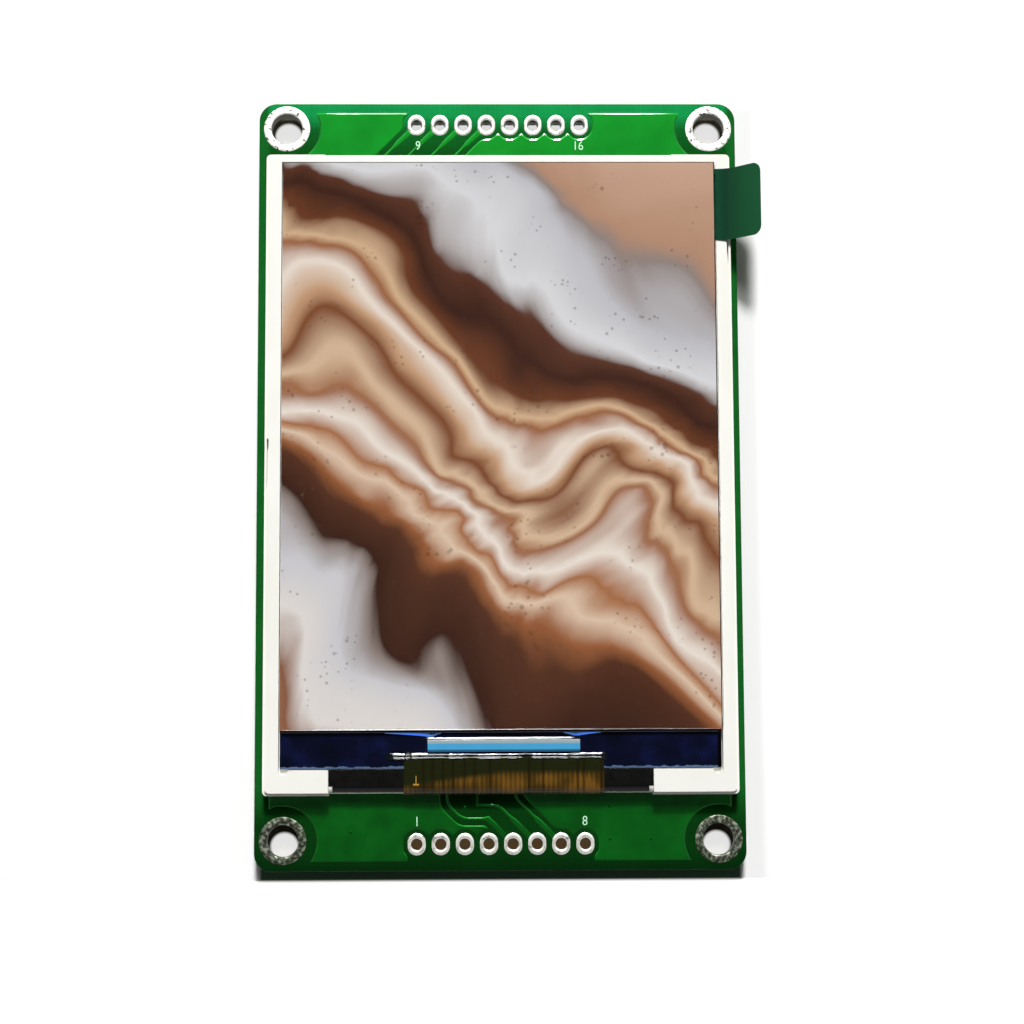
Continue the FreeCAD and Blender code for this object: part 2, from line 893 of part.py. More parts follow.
def flex_solder_joints():
    """Solder between the flex and its lands on the board."""
    upper = tail_end_y - contact_overhang
    joints = []
    for x in contact_x:
        left = x - contact_width / 2
        right = x + contact_width / 2
        front = copper_top + joint_thickness
        joints.append(block(left, right, upper - joint_length, upper, copper_top, front))
    return Part.makeCompound(joints)


def shade_tape():
    """Black tape over the frame's bar and round part of its nose, on both sides of the flex."""
    moves = [(0, pocket_lower - nose_centre_y), (nose_radius + shade_tape_thickness / 2, -shade_wrap_angle)]
    strips = []
    for left, right in ((foot_left, flex_left), (flex_right, foot_right)):
        tape = ribbon(moves, shade_tape_thickness, right - left)
        tape.rotate(Vector(), Vector(0, 0, 1), -90)
        tape.translate(Vector((left + right) / 2, pocket_lower, bar_top + shade_tape_thickness / 2))
        strips.append(tape)
    return Part.makeCompound(strips)


def part_base():
    """Height of the rear lands' solder, on which the rear parts stand."""
    return -foil_thickness - solder_thickness


def chip_bodies(places, size):
    """Ceramic middles of a row of rear capacitors or resistors."""
    width, length, height = size
    half = length / 2 - terminal_length
    bodies = []
    for x in places:
        bodies.append(
            block(
                x - width / 2,
                x + width / 2,
                part_row_y - half,
                part_row_y + half,
                part_base() - terminal_lip - height,
                part_base() - terminal_lip,
            )
        )
    return Part.makeCompound(bodies)


def chip_terminals():
    """Tinned end caps of the rear capacitors and resistors, with the solder under them."""
    caps = []
    for places, size in ((capacitor_x, capacitor_size), (resistor_x, resistor_size)):
        width, length, height = size
        half = width / 2 + terminal_lip
        for x in places:
            for side in (-1, 1):
                inner = part_row_y + side * (length / 2 - terminal_length)
                outer = part_row_y + side * (length / 2 + terminal_lip)
                lower, upper = sorted((inner, outer))
                deep = part_base() - height - 2 * terminal_lip
                caps.append(block(x - half, x + half, lower, upper, deep, -foil_thickness))
    return Part.makeCompound(caps)


def moulded_body(x, size):
    """Small moulded body on the board's rear, drafted both ways from the parting line at half its height."""
    width, depth, height = size
    top = part_base() - body_lift
    sections = []
    for z, inset in ((top, body_draft), (top - height / 2, 0), (top - height, body_draft)):
        half_width = width / 2 - inset
        half_depth = depth / 2 - inset
        corners = [
            Vector(x - half_width, part_row_y - half_depth, z),
            Vector(x + half_width, part_row_y - half_depth, z),
            Vector(x + half_width, part_row_y + half_depth, z),
            Vector(x - half_width, part_row_y + half_depth, z),
        ]
        sections.append(Part.makePolygon(corners + corners[:1]))
    return Part.makeLoft(sections, True, True)


def gull_lead(drop):
    """One gull-wing lead: out along X, over by the drop to its land, and the solder under its foot."""
    foot_x = lead_exit + lead_shank
    path = [(0, 0), (lead_exit, 0), (foot_x, drop), (foot_x + lead_foot, drop)]
    corners = [Vector(x, -lead_width / 2, z) for x, z in mitred_outline(widened(path, lead_thickness))]
    lead = Part.Face(Part.makePolygon(corners + corners[:1])).extrude(Vector(0, lead_width, 0))
    land_side = drop + lead_thickness / 2
    solder = block(
        foot_x, foot_x + lead_foot, -lead_width / 2, lead_width / 2, land_side, land_side + solder_thickness
    )
    return lead.fuse(solder).removeSplitter()


def gull_leads(x, size, counts):
    """All leads of a moulded part, out of its body at the parting line."""
    parting = part_base() - body_lift - size[2] / 2
    leads = []
    for lead_x, side in lead_places(x, counts):
        lead = gull_lead(part_base() - lead_thickness / 2 - parting)
        lead.rotate(Vector(), Vector(0, 0, 1), 90 * side)
        lead.translate(Vector(lead_x, part_row_y + side * size[1] / 2, parting))
        leads.append(lead)
    return Part.makeCompound(leads)


def build():
    """Make and save every sub-part."""
    os.makedirs("parts", exist_ok=True)
    save(circuit_board(), "circuit_board")
    save(mounting_hole_rings(), "mounting_hole_rings")
    save(pin_pads(-1), "pin_pads_lower")
    save(pin_pads(1), "pin_pads_upper")
    save(front_copper(), "front_copper")
    save(rear_copper(), "rear_copper")
    save(foam_tape(), "foam_tape")
    save(backlight_frame(), "backlight_frame")
    save(reflector_sheet(), "reflector_sheet")
    save(light_guide_plate(), "light_guide_plate")
    for level, name in enumerate(sheet_names):
        save(optical_sheet(level), name)
    save(led_strip(), "led_strip")
    save(backlight_leds(), "backlight_leds")
    save(led_lenses(), "led_lenses")
    save(rim_tape(), "rim_tape")
    save(lower_polariser(), "lower_polariser")
    save(tft_glass(), "tft_glass")
    save(colour_filter_glass(), "colour_filter_glass")
    save(upper_polariser(), "upper_polariser")
    save(protective_film(), "protective_film")
    save(pull_tab(), "pull_tab")
    save(driver_chip(), "driver_chip")
    save(ledge_seal(), "ledge_seal")
    save(flex_circuit(), "flex_circuit")
    save(flex_solder_joints(), "flex_solder_joints")
    save(shade_tape(), "shade_tape")
    save(chip_bodies(capacitor_x, capacitor_size), "capacitor_bodies")
    save(chip_bodies(resistor_x, resistor_size), "resistor_bodies")
    save(chip_terminals(), "chip_terminals")
    save(moulded_body(regulator_x, regulator_body_size), "regulator_body")
    save(gull_leads(regulator_x, regulator_body_size, regulator_lead_counts), "regulator_leads")
    save(moulded_body(transistor_x, transistor_body_size), "transistor_body")
    save(gull_leads(transistor_x, transistor_body_size, transistor_lead_counts), "transistor_leads")


build()
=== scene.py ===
import math

import bmesh
import bpy
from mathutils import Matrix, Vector


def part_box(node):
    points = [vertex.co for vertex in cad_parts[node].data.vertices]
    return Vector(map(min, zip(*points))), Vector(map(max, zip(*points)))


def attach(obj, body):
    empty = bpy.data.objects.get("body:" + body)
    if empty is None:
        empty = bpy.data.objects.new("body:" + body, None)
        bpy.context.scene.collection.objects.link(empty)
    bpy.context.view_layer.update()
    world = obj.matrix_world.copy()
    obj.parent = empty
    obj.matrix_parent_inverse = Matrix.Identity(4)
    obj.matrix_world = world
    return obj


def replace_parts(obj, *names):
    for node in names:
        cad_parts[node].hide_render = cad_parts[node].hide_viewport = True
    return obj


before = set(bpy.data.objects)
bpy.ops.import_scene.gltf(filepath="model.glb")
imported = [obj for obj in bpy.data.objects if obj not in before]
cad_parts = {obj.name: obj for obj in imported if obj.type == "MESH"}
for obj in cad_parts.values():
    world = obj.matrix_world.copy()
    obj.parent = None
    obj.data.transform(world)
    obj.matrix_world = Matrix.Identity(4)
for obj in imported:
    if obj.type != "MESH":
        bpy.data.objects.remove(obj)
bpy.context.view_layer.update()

# Circuit board
# Woven glass fibre in epoxy, 1.6 mm thick, coated green on both faces, then drilled and routed to its
# outline. The coat is thin enough to show the weave; the routed edge is bare, pale and a little fibrous.
millimetre = 0.001
joining_reach = 1e-4
corner_from = math.radians(35)
crisp_from = math.radians(45)
level_share = 0.9999
board_edge_break = 0.05
weave_pitch = 0.55
weave_depth = 0.004
routed_edge = "#7F8C4C"
border_width = (1.2, 0.7)
border_ends = (-37.0, -33.0)


def linear(colour):
    """A screen hex colour as the renderer's linear values."""
    parts = [int(colour[i : i + 2], 16) / 255 for i in (1, 3, 5)]
    return [part / 12.92 if part <= 0.04045 else ((part + 0.055) / 1.055) ** 2.4 for part in parts] + [1.0]


def add(tree, kind, inputs=(), stops=(), **settings):
    """Add one node with its settings; an input, by name or number, takes a value or another node's output."""
    node = tree.nodes.new(kind)
    for name, value in settings.items():
        setattr(node, name, value)
    for name, value in dict(inputs).items():
        if isinstance(value, bpy.types.NodeSocket):
            tree.links.new(value, node.inputs[name])
        else:
            node.inputs[name].default_value = value
    for number, (place, colour) in enumerate(stops):
        ramp = node.color_ramp.elements
        stop = ramp[number] if number < 2 else ramp.new(place)
        stop.position = place
        stop.color = linear(colour)
    return node


def start_material(name, **uniform):
    """A material with one Principled shader; gives the material, its tree, the shader and the place in mm."""
    material = bpy.data.materials.new(name)
    material.use_nodes = True
    tree = material.node_tree
    shader = tree.nodes["Principled BSDF"]
    for socket, value in uniform.items():
        shader.inputs[socket.replace("_", " ")].default_value = value
    coordinates = add(tree, "ShaderNodeTexCoord")
    scaled = {0: coordinates.outputs["Object"], 1: (1 / millimetre,) * 3}
    place = add(tree, "ShaderNodeVectorMath", scaled, operation="MULTIPLY").outputs[0]
    return material, tree, shader, place


def roughen(tree, shader, place, size, low, high, height):
    """Vary the roughness between two values, and the surface by a height, in patches of one size in mm."""
    noise = add(tree, "ShaderNodeTexNoise", {"Vector": place, "Scale": 1 / size, "Detail": 3.0})
    spread = {"Value": noise.outputs[0], "From Min": 0.3, "From Max": 0.7, "To Min": low, "To Max": high}
    tree.links.new(add(tree, "ShaderNodeMapRange", spread).outputs[0], shader.inputs["Roughness"])
    raised = {"Height": noise.outputs[0], "Distance": height * millimetre, "Strength": 1.0}
    tree.links.new(add(tree, "ShaderNodeBump", raised).outputs[0], shader.inputs["Normal"])
    return noise.outputs[0]


def band_scale(pitch):
    """The scale at which a wave texture has one band in each pitch, in mm."""
    return 2 * math.pi / (20 * pitch)


def merged(node):
    """A copy of a CAD node in mm, with its points merged and its flat faces whole."""
    shape = bmesh.new()
    shape.from_mesh(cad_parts[node].data)
    bmesh.ops.remove_doubles(shape, verts=shape.verts, dist=joining_reach * millimetre)
    bmesh.ops.dissolve_limit(shape, angle_limit=math.radians(0.5), verts=shape.verts, edges=shape.edges)
    bmesh.ops.scale(shape, vec=(1 / millimetre,) * 3, verts=shape.verts)
    return shape


def finished(shape, name, flats_apart=False):
    """A mesh in metres from a shape in mm, smooth where it bends a little and crisp at its corners; level
    faces can be kept apart from the slopes round them."""
    bmesh.ops.scale(shape, vec=(millimetre,) * 3, verts=shape.verts)
    shape.normal_update()
    for face in shape.faces:
        face.smooth = True
    for edge in shape.edges:
        level = {abs(face.normal.z) > level_share for face in edge.link_faces}
        edge.smooth = edge.calc_face_angle(0) < crisp_from and not (flats_apart and len(level) == 2)
    mesh = bpy.data.meshes.new(name)
    shape.to_mesh(mesh)
    shape.free()
    if "custom_normal" in mesh.attributes:
        mesh.attributes.remove(mesh.attributes["custom_normal"])
    holder = bpy.data.objects.new(name, mesh)
    holder.modifiers.new("flat_faces_lead", "WEIGHTED_NORMAL").keep_sharp = True
    return plain(holder)


def plain(holder):
    """The mesh that an object makes with its modifiers; the object itself is removed."""
    bpy.context.scene.collection.objects.link(holder)
    evaluated = holder.evaluated_get(bpy.context.evaluated_depsgraph_get())
    mesh = bpy.data.meshes.new_from_object(evaluated)
    mesh.name = holder.name
    bpy.data.objects.remove(holder)
    return mesh


def softened(node, width, steps=2):
    """A copy of a CAD node whose corners are broken by a small round."""
    shape = merged(node)
    corners = [edge for edge in shape.edges if edge.calc_face_angle(0) > corner_from]
    bmesh.ops.bevel(
        shape,
        geom=corners,
        offset=width,
        offset_type="OFFSET",
        segments=steps,
        profile=0.5,
        affect="EDGES",
        clamp_overlap=True,
    )
    return finished(shape, node)


def put(name, mesh, material, slot, *nodes):
    """Show a finished mesh as a piece on the module, in place of the CAD nodes given."""
    thing = bpy.data.objects.new(name, mesh)
    bpy.context.scene.collection.objects.link(thing)
    mesh.materials.clear()
    mesh.materials.append(material)
    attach(thing, "root")
    if nodes:
        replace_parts(thing, *nodes)
    return thing


def dress(node, material):
    """Give a carried-over CAD node its material."""
    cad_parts[node].data.materials.clear()
    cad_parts[node].data.materials.append(material)


def corners_of(node):
    """Lowest and highest corner of a CAD node, in mm."""
    low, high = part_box(node)
    return low / millimetre, high / millimetre


# Glass fibre under green solder mask: dark and glossy, with a faint weave, a lighter green along the sides,
# a painted sheen in a bright band along the upper end, a little darker at the lower edge, and bare where it
# was routed
glint = {"Specular_IOR_Level": 0.35, "Specular_Tint": linear("#30FF60")}
mask, tree, shader, place = start_material("green_mask_on_glass_fibre", Roughness=0.22, **glint)
weaves = []
for direction in ("X", "Y"):
    wave = {"Vector": place, "Scale": band_scale(weave_pitch), "Distortion": 0.6, "Detail": 1.0}
    weaves.append(add(tree, "ShaderNodeTexWave", wave, bands_direction=direction).outputs["Fac"])
woven = add(tree, "ShaderNodeMath", {0: weaves[0], 1: weaves[1]}, operation="MULTIPLY").outputs[0]
blotch = add(tree, "ShaderNodeTexNoise", {"Vector": place, "Scale": 0.35, "Detail": 4.0}).outputs[0]
tone = add(tree, "ShaderNodeMath", {0: woven, 1: 0.25, 2: blotch}, operation="MULTIPLY_ADD").outputs[0]
at = add(tree, "ShaderNodeSeparateXYZ", {0: place}).outputs
board_low, board_high = corners_of("circuit_board")
up_the_board = {"Value": at[1], "From Min": board_low.y, "From Max": board_high.y}
up_the_board = add(tree, "ShaderNodeMapRange", up_the_board).outputs[0]
# Painted sheen: the green turns bright in a band along the board's upper end, and is a little darker at its
# lower edge
stops_with_painted_sheen = [(0.0, "#07250B"), (0.03, "#0A370F"), (0.93, "#0B3B0F")]
stops_with_painted_sheen += [(0.965, "#0F5220"), (0.985, "#158C49")]
tone_with_painted_sheen = add(tree, "ShaderNodeValToRGB", {0: up_the_board}, stops_with_painted_sheen).outputs[0]
sideways = add(tree, "ShaderNodeMath", {0: at[0]}, operation="ABSOLUTE").outputs[0]
border = [board_high.x - width for width in border_width]
border = {"Value": sideways, "From Min": border[0], "From Max": border[1]}
border = add(tree, "ShaderNodeMapRange", border).outputs[0]
border_upper_part = {"Value": at[1], "From Min": border_ends[0], "From Max": border_ends[1]}
border_upper_part = add(tree, "ShaderNodeMapRange", border_upper_part).outputs[0]
border = add(tree, "ShaderNodeMath", {0: border, 1: border_upper_part}, operation="MULTIPLY").outputs[0]
bordered = {0: border, 6: tone_with_painted_sheen, 7: linear("#145820")}
coat_tone = add(tree, "ShaderNodeMix", bordered, data_type="RGBA").outputs[2]
varied = add(tree, "ShaderNodeMapRange", {"Value": tone, "To Min": 0.75, "To Max": 1.25}).outputs[0]
coat_tone = add(tree, "ShaderNodeVectorMath", {0: coat_tone, "Scale": varied}, operation="SCALE").outputs[0]
normal = add(tree, "ShaderNodeNewGeometry").outputs["Normal"]
upward = add(tree, "ShaderNodeSeparateXYZ", {0: normal}).outputs[2]
flat = add(tree, "ShaderNodeMath", {0: upward}, operation="ABSOLUTE").outputs[0]
coated = add(tree, "ShaderNodeMapRange", {"Value": flat, "From Min": 0.5, "From Max": 0.8}).outputs[0]
edge_tone = {0: coated, 6: linear(routed_edge), 7: coat_tone}
board_tone = add(tree, "ShaderNodeMix", edge_tone, data_type="RGBA").outputs[2]
tree.links.new(board_tone, shader.inputs["Base Color"])
raised = {"Height": tone, "Distance": weave_depth * millimetre, "Strength": 1.0}
tree.links.new(add(tree, "ShaderNodeBump", raised).outputs[0], shader.inputs["Normal"])
put("board", softened("circuit_board", board_edge_break), mask, "solder_mask_board", "circuit_board")

# Masked copper
# Foil 0.035 mm thick, left by etching as ground pour and traces, under the same green coat. The coat runs
# over each edge in a soft shoulder that catches the light, and looks brighter where copper backs it.
shoulder = 0.14
shoulder_steps = 3
coat_rise = 0.75
outline_corner = math.radians(60)
level_slack = 0.005
largest_arc_reach = 0.75
gentle_corner = math.radians(50)
largest_land = 2.6


def outlines(node, height):
    """The closed outlines of a flat CAD node's face at one height, as lists of corners in mm."""
    shape = merged(node)
    rim = [edge for edge in shape.edges if edge.calc_face_angle(0) > outline_corner]
    rim = [edge for edge in rim if all(abs(vert.co.z - height) < level_slack for vert in edge.verts)]
    around = {}
    for edge in rim:
        for vert in edge.verts:
            around.setdefault(vert.index, []).append(edge)
    loops = []
    waiting = {edge.index: edge for edge in rim}
    while waiting:
        edge = waiting.pop(next(iter(waiting)))
        first, vert = edge.verts
        loop = [first, vert]
        while vert != first:
            edge = next(other for other in around[vert.index] if other.index in waiting)
            waiting.pop(edge.index)
            vert = edge.other_vert(vert)
            loop.append(vert)
        loops.append([vert.co.xy.copy() for vert in loop[:-1]])
    shape.free()
    return loops


def rounded(loop):
    """A closed outline with its gentle corners turned into arcs; sharp corners stay."""
    result = []
    for before, corner, after in zip(loop[-1:] + loop[:-1], loop, loop[1:] + loop[:1]):
        if math.pi - (before - corner).angle(after - corner) > gentle_corner:
            result.append(corner)
            continue
        reach = min(largest_arc_reach, 0.49 * (before - corner).length, 0.49 * (after - corner).length)
        start = (before - corner).normalized() * reach
        end = (after - corner).normalized() * reach
        for t in (0, 0.25, 0.5, 0.75, 1):
            result.append(corner + start * (1 - t) ** 2 + end * t**2)
    return result


def cushion(name, loops, shoulder):
    """A sheet in mm over closed outlines, round-shouldered above and below, its middle at height zero."""
    curve = bpy.data.curves.new(name, "CURVE")
    curve.dimensions = "2D"
    curve.fill_mode = "BOTH"
    curve.bevel_depth = shoulder
    curve.bevel_resolution = shoulder_steps
    curve.offset = -shoulder
    for loop in loops:
        spline = curve.splines.new("POLY")
        spline.points.add(len(loop) - 1)
        for point, corner in zip(spline.points, loop):
            point.co = (corner[0], corner[1], 0, 1)
        spline.use_cyclic_u = True
    shape = bmesh.new()
    shape.from_mesh(plain(bpy.data.objects.new(name, curve)))
    bmesh.ops.remove_doubles(shape, verts=shape.verts, dist=joining_reach)
    return shape


def coated_foil(name, loops, base, height):
    """Foil on a board face at a base height, with its coat; a negative height stands it on the rear face."""
    shape = cushion(name, loops, shoulder)
    for vert in shape.verts:
        share = min(max(vert.co.z / shoulder, 0), 1)
        inward = 1 - math.sqrt(1 - share**2)
        vert.co.z = base + height * coat_rise * inward**2 * (3 - 2 * inward)
        if share == 0:
            vert.co.z = base
    bmesh.ops.recalc_face_normals(shape, faces=shape.faces)
    return finished(shape, name, flats_apart=True)


def reach_of(loop):
    """The longer side of the box round an outline."""
    xs = [corner[0] for corner in loop]
    ys = [corner[1] for corner in loop]
    return max(max(xs) - min(xs), max(ys) - min(ys))


# Copper behind green solder mask: a warm metallic gleam under a clear gloss, mottled by the coat's flow
clear_coat = {"Coat_Weight": 1.0, "Coat_Roughness": 0.05, "Coat_IOR": 1.8}
copper, tree, shader, place = start_material("green_mask_on_copper", Metallic=0.96, **clear_coat)
flow = roughen(tree, shader, place, 3.0, 0.42, 0.48, 0.006)
copper_tone = add(tree, "ShaderNodeValToRGB", {0: flow}, [(0.3, "#045F13"), (0.7, "#076B19")]).outputs[0]
tree.links.new(copper_tone, shader.inputs["Base Color"])
front_low, front_high = corners_of("front_copper")
rear_low, rear_high = corners_of("rear_copper")
foil = front_high.z - front_low.z
front_loops = [rounded(loop) for loop in outlines("front_copper", front_high.z)]
rear_loops = outlines("rear_copper", rear_low.z)
rear_lands = [loop for loop in rear_loops if reach_of(loop) < largest_land]
rear_pour = [rounded(loop) for loop in rear_loops if reach_of(loop) >= largest_land]
front_foil = coated_foil("front_traces_and_pour", front_loops, front_low.z, foil)
rear_foil = coated_foil("rear_traces_and_pour", rear_pour, rear_high.z, -foil)
put("front_traces_and_pour", front_foil, copper, "masked_copper", "front_copper")
put("rear_traces_and_pour", rear_foil, copper, "masked_copper", "rear_copper")

# Tented vias
# Small plated holes closed by the green coat, which stands over each one in a low round bump.
via_radius = 0.24
via_rise = 0.055
via_places = [(-15.86, -37.65), (11.48, -38.48), (15.81, -38.5), (11.47, -35.02), (-3.8, -35.15)]
round_steps = [math.radians(angle) for angle in range(0, 360, 20)]
via_loops = []
for x, y in via_places:
    spokes = [Vector((math.cos(angle), math.sin(angle))) for angle in round_steps]
    via_loops.append([Vector((x, y)) + spoke * via_radius for spoke in spokes])
put("tented_vias", coated_foil("tented_vias", via_loops, board_high.z, via_rise), mask, "masked_copper")

# Plated holes
# Copper rings on both faces, joined by a plated barrel, dipped in molten tin and blown level with hot air.
# The tin stands in a low uneven crown round each hole, bright in some places and grey in others.
plating = 0.03
ring_stretch_reach = 0.3
barrel_shade_brown = "#2A241A"
pin_crown = 0.04
mount_crown = 0.015
pin_low, pin_high = corners_of("pin_pads_lower")
pin_top = corners_of("pin_pads_upper")[1]
ring_low, ring_high = corners_of("mounting_hole_rings")
mount_spacing_x = 46.0
pin_columns = 8
pin_pitch = 2.54
pin_hole = 1.2
pad_width = 1.9
mount_hole = 3.4
mount_ring = 5.0
mount_rings_from = 18.0
barrel_shade_ends = 0.72
tin_begins = 0.79


def start_tree(name, sizes):
    """A geometry tree that takes a section, named sizes and a material; gives the tree and what it takes."""
    tree = bpy.data.node_groups.new(name, "GeometryNodeTree")
    for label, kind in {"Section": "Geometry", **sizes, "Material": "Material"}.items():
        tree.interface.new_socket(label, in_out="INPUT", socket_type="NodeSocket" + kind)
    tree.interface.new_socket("Geometry", in_out="OUTPUT", socket_type="NodeSocketGeometry")
    return tree, add(tree, "NodeGroupInput").outputs


def end_tree(tree, geometry, material):
    """End a geometry tree in plain geometry of one material."""
    real = add(tree, "GeometryNodeRealizeInstances", {0: geometry}).outputs[0]
    dressed = add(tree, "GeometryNodeSetMaterial", {"Geometry": real, "Material": material}).outputs[0]
    add(tree, "NodeGroupOutput", {0: dressed})


hole_sizes = {"Columns": "Int", "Width": "Float", "Length": "Float", "Radius": "Float"}
hole_sizes.update({"Stretch": "Float", "Sides": "Int", "Unevenness": "Float"})
plated, given = start_tree("plated_holes", hole_sizes)
profile = add(plated, "GeometryNodeMeshToCurve", {"Mesh": given["Section"]}).outputs[0]
circle = {"Resolution": given["Sides"], "Radius": given["Radius"]}
path = add(plated, "GeometryNodeCurvePrimitiveCircle", circle).outputs[0]
ring = add(plated, "GeometryNodeCurveToMesh", {"Curve": path, "Profile Curve": profile}).outputs[0]
at = add(plated, "GeometryNodeInputPosition").outputs[0]
across = add(plated, "ShaderNodeSeparateXYZ", {0: at}).outputs
side = add(plated, "ShaderNodeMath", {0: across[1]}, operation="SIGN").outputs[0]
level = add(plated, "ShaderNodeCombineXYZ", {0: across[0], 1: across[1]}).outputs[0]
distance = add(plated, "ShaderNodeVectorMath", {0: level}, operation="LENGTH").outputs["Value"]
outside = {"Value": distance, "From Min": given["Radius"], "To Max": given["Stretch"]}
limit = {0: given["Radius"], 1: ring_stretch_reach}
limit = add(plated, "ShaderNodeMath", limit, operation="ADD").outputs[0]
shift = add(plated, "ShaderNodeMapRange", {**outside, "From Max": limit}).outputs[0]
along = add(plated, "ShaderNodeMath", {0: shift, 1: side}, operation="MULTIPLY").outputs[0]
drawn = add(plated, "ShaderNodeCombineXYZ", {1: along}).outputs[0]
oval = add(plated, "GeometryNodeSetPosition", {"Geometry": ring, "Offset": drawn}).outputs[0]
grid = {"Size X": given["Width"], "Size Y": given["Length"], "Vertices X": given["Columns"], "Vertices Y": 2}
holes = add(plated, "GeometryNodeMeshGrid", grid).outputs[0]
copies = add(plated, "GeometryNodeInstanceOnPoints", {"Points": holes, "Instance": oval}).outputs[0]
real = add(plated, "GeometryNodeRealizeInstances", {0: copies}).outputs[0]
wave = add(plated, "ShaderNodeTexNoise", {"Scale": 0.9, "Detail": 2.0}).outputs["Color"]
centred = add(plated, "ShaderNodeVectorMath", {0: wave, 1: (0.5,) * 3}, operation="SUBTRACT").outputs[0]
wobble = {0: centred, "Scale": given["Unevenness"]}
offset = add(plated, "ShaderNodeVectorMath", wobble, operation="SCALE").outputs[0]
uneven = add(plated, "GeometryNodeSetPosition", {"Geometry": real, "Offset": offset}).outputs[0]
end_tree(plated, uneven, given["Material"])


def grown(tree, name, source, values):
    """The plain mesh in metres that a geometry tree makes from a source mesh in mm and named values."""
    holder = bpy.data.objects.new(name, source)
    modifier = holder.modifiers.new(tree.name, "NODES")
    modifier.node_group = tree
    for item in tree.interface.items_tree:
        if item.in_out == "INPUT" and item.name in values:
            modifier[item.identifier] = values[item.name]
    shape = bmesh.new()
    shape.from_mesh(plain(holder))
    bmesh.ops.remove_doubles(shape, verts=shape.verts, dist=joining_reach)
    bmesh.ops.recalc_face_normals(shape, faces=shape.faces)
    return finished(shape, name)


def ring_section(name, width, crown):
    """Section through a plated ring: barrel and crowned flanges, from the hole's wall out to a width."""
    top = board_high.z + foil
    half = [
        (width, board_high.z),
        (width, top - 0.008),
        (width - 0.03, top + 0.15 * crown),
        (0.72 * width, top + 0.75 * crown),
        (0.45 * width, top + crown),
        (0.2 * width, top + 0.7 * crown),
        (0.03, top),
        (-0.5 * plating, top - 0.05),
        (-plating, board_high.z - 0.1),
    ]
    lower = [(x, board_high.z - z) for x, z in reversed(half)]
    points = half + lower + [(0.02, 0.1), (0.02, board_high.z - 0.1)]
    mesh = bpy.data.meshes.new(name)
    sides = [(i, (i + 1) % len(points)) for i in range(len(points))]
    mesh.from_pydata([(x, -z, 0) for x, z in points], sides, [])
    return mesh


# Hot-air-levelled tin: a bright soft metal, patchy between mirror and satin, painted dark brown as shade
# down in the holes. Screws have scuffed the corner rings, and the two lower ones are dull
tin, tree, shader, place = start_material("hot_air_levelled_tin", Metallic=0.7)
patches = roughen(tree, shader, place, 0.5, 0.36, 0.48, 0.003)
tin_tone = add(tree, "ShaderNodeValToRGB", {0: patches}, [(0.3, "#96948A"), (0.42, "#E8E7DE")]).outputs[0]
at = add(tree, "ShaderNodeSeparateXYZ", {0: place}).outputs
from_middle = add(tree, "ShaderNodeMath", {0: at[2], 1: board_high.z / 2}, operation="SUBTRACT").outputs[0]
depth_part = add(tree, "ShaderNodeMath", {0: from_middle}, operation="ABSOLUTE").outputs[0]
# Painted shade: the barrel walls, away from the board's faces, are painted dark brown
wall = {"Value": depth_part, "From Min": barrel_shade_ends, "From Max": tin_begins}
out_of_hole = add(tree, "ShaderNodeMapRange", wall).outputs[0]
outward = add(tree, "ShaderNodeMath", {0: at[0]}, operation="ABSOLUTE").outputs[0]
at_corner = {0: outward, 1: mount_rings_from}
at_corner = add(tree, "ShaderNodeMath", at_corner, operation="GREATER_THAN").outputs[0]
at_lower = add(tree, "ShaderNodeMath", {0: at[1], 1: 0.0}, operation="LESS_THAN").outputs[0]
dull = add(tree, "ShaderNodeMath", {0: at_corner, 1: at_lower}, operation="MULTIPLY").outputs[0]
scratches = add(tree, "ShaderNodeTexNoise", {"Vector": place, "Scale": 2.4, "Detail": 5.0}).outputs[0]
dull_stops = [(0.36, "#222A1C"), (0.5, "#4E5645"), (0.66, "#A8AD9C")]
dull_tone = add(tree, "ShaderNodeValToRGB", {0: scratches}, dull_stops).outputs[0]
scuff_stops = [(0.38, "#57554C"), (0.43, "#ECEBE3")]
scuff_tone = add(tree, "ShaderNodeValToRGB", {0: scratches}, scuff_stops).outputs[0]
scuffed = {0: at_corner, 6: tin_tone, 7: scuff_tone}
tin_tone = add(tree, "ShaderNodeMix", scuffed, data_type="RGBA").outputs[2]
dulled = {0: dull, 6: tin_tone, 7: dull_tone}
tin_tone = add(tree, "ShaderNodeMix", dulled, data_type="RGBA").outputs[2]
barrel_shaded = {0: out_of_hole, 6: linear(barrel_shade_brown), 7: tin_tone}
tin_mix = add(tree, "ShaderNodeMix", barrel_shaded, data_type="RGBA").outputs[2]
tree.links.new(tin_mix, shader.inputs["Base Color"])
row_length = (corners_of("pin_pads_upper")[0].y + pin_top.y - pin_low.y - pin_high.y) / 2
pin_values = {
    "Columns": pin_columns,
    "Width": pin_pitch * (pin_columns - 1),
    "Length": row_length,
    "Radius": pin_hole / 2,
    "Stretch": 0.2,
    "Sides": 40,
    "Unevenness": 0.05,
    "Material": tin,
}
pin_section = ring_section("pin_section", (pad_width - pin_hole) / 2, pin_crown)
pin_mesh = grown(plated, "tinned_pin_holes", pin_section, pin_values)
put("tinned_pin_holes", pin_mesh, tin, "tin_plating", "pin_pads_lower", "pin_pads_upper")
mount_values = {
    "Columns": 2,
    "Width": mount_spacing_x,
    "Length": ring_high.y - ring_low.y - mount_ring,
    "Radius": mount_hole / 2,
    "Stretch": 0.0,
    "Sides": 72,
    "Unevenness": 0.02,
    "Material": tin,
}
mount_section = ring_section("mount_section", (mount_ring - mount_hole) / 2, mount_crown)
mount_mesh = grown(plated, "tinned_mounting_holes", mount_section, mount_values)
put("tinned_mounting_holes", mount_mesh, tin, "tin_plating", "mounting_hole_rings")

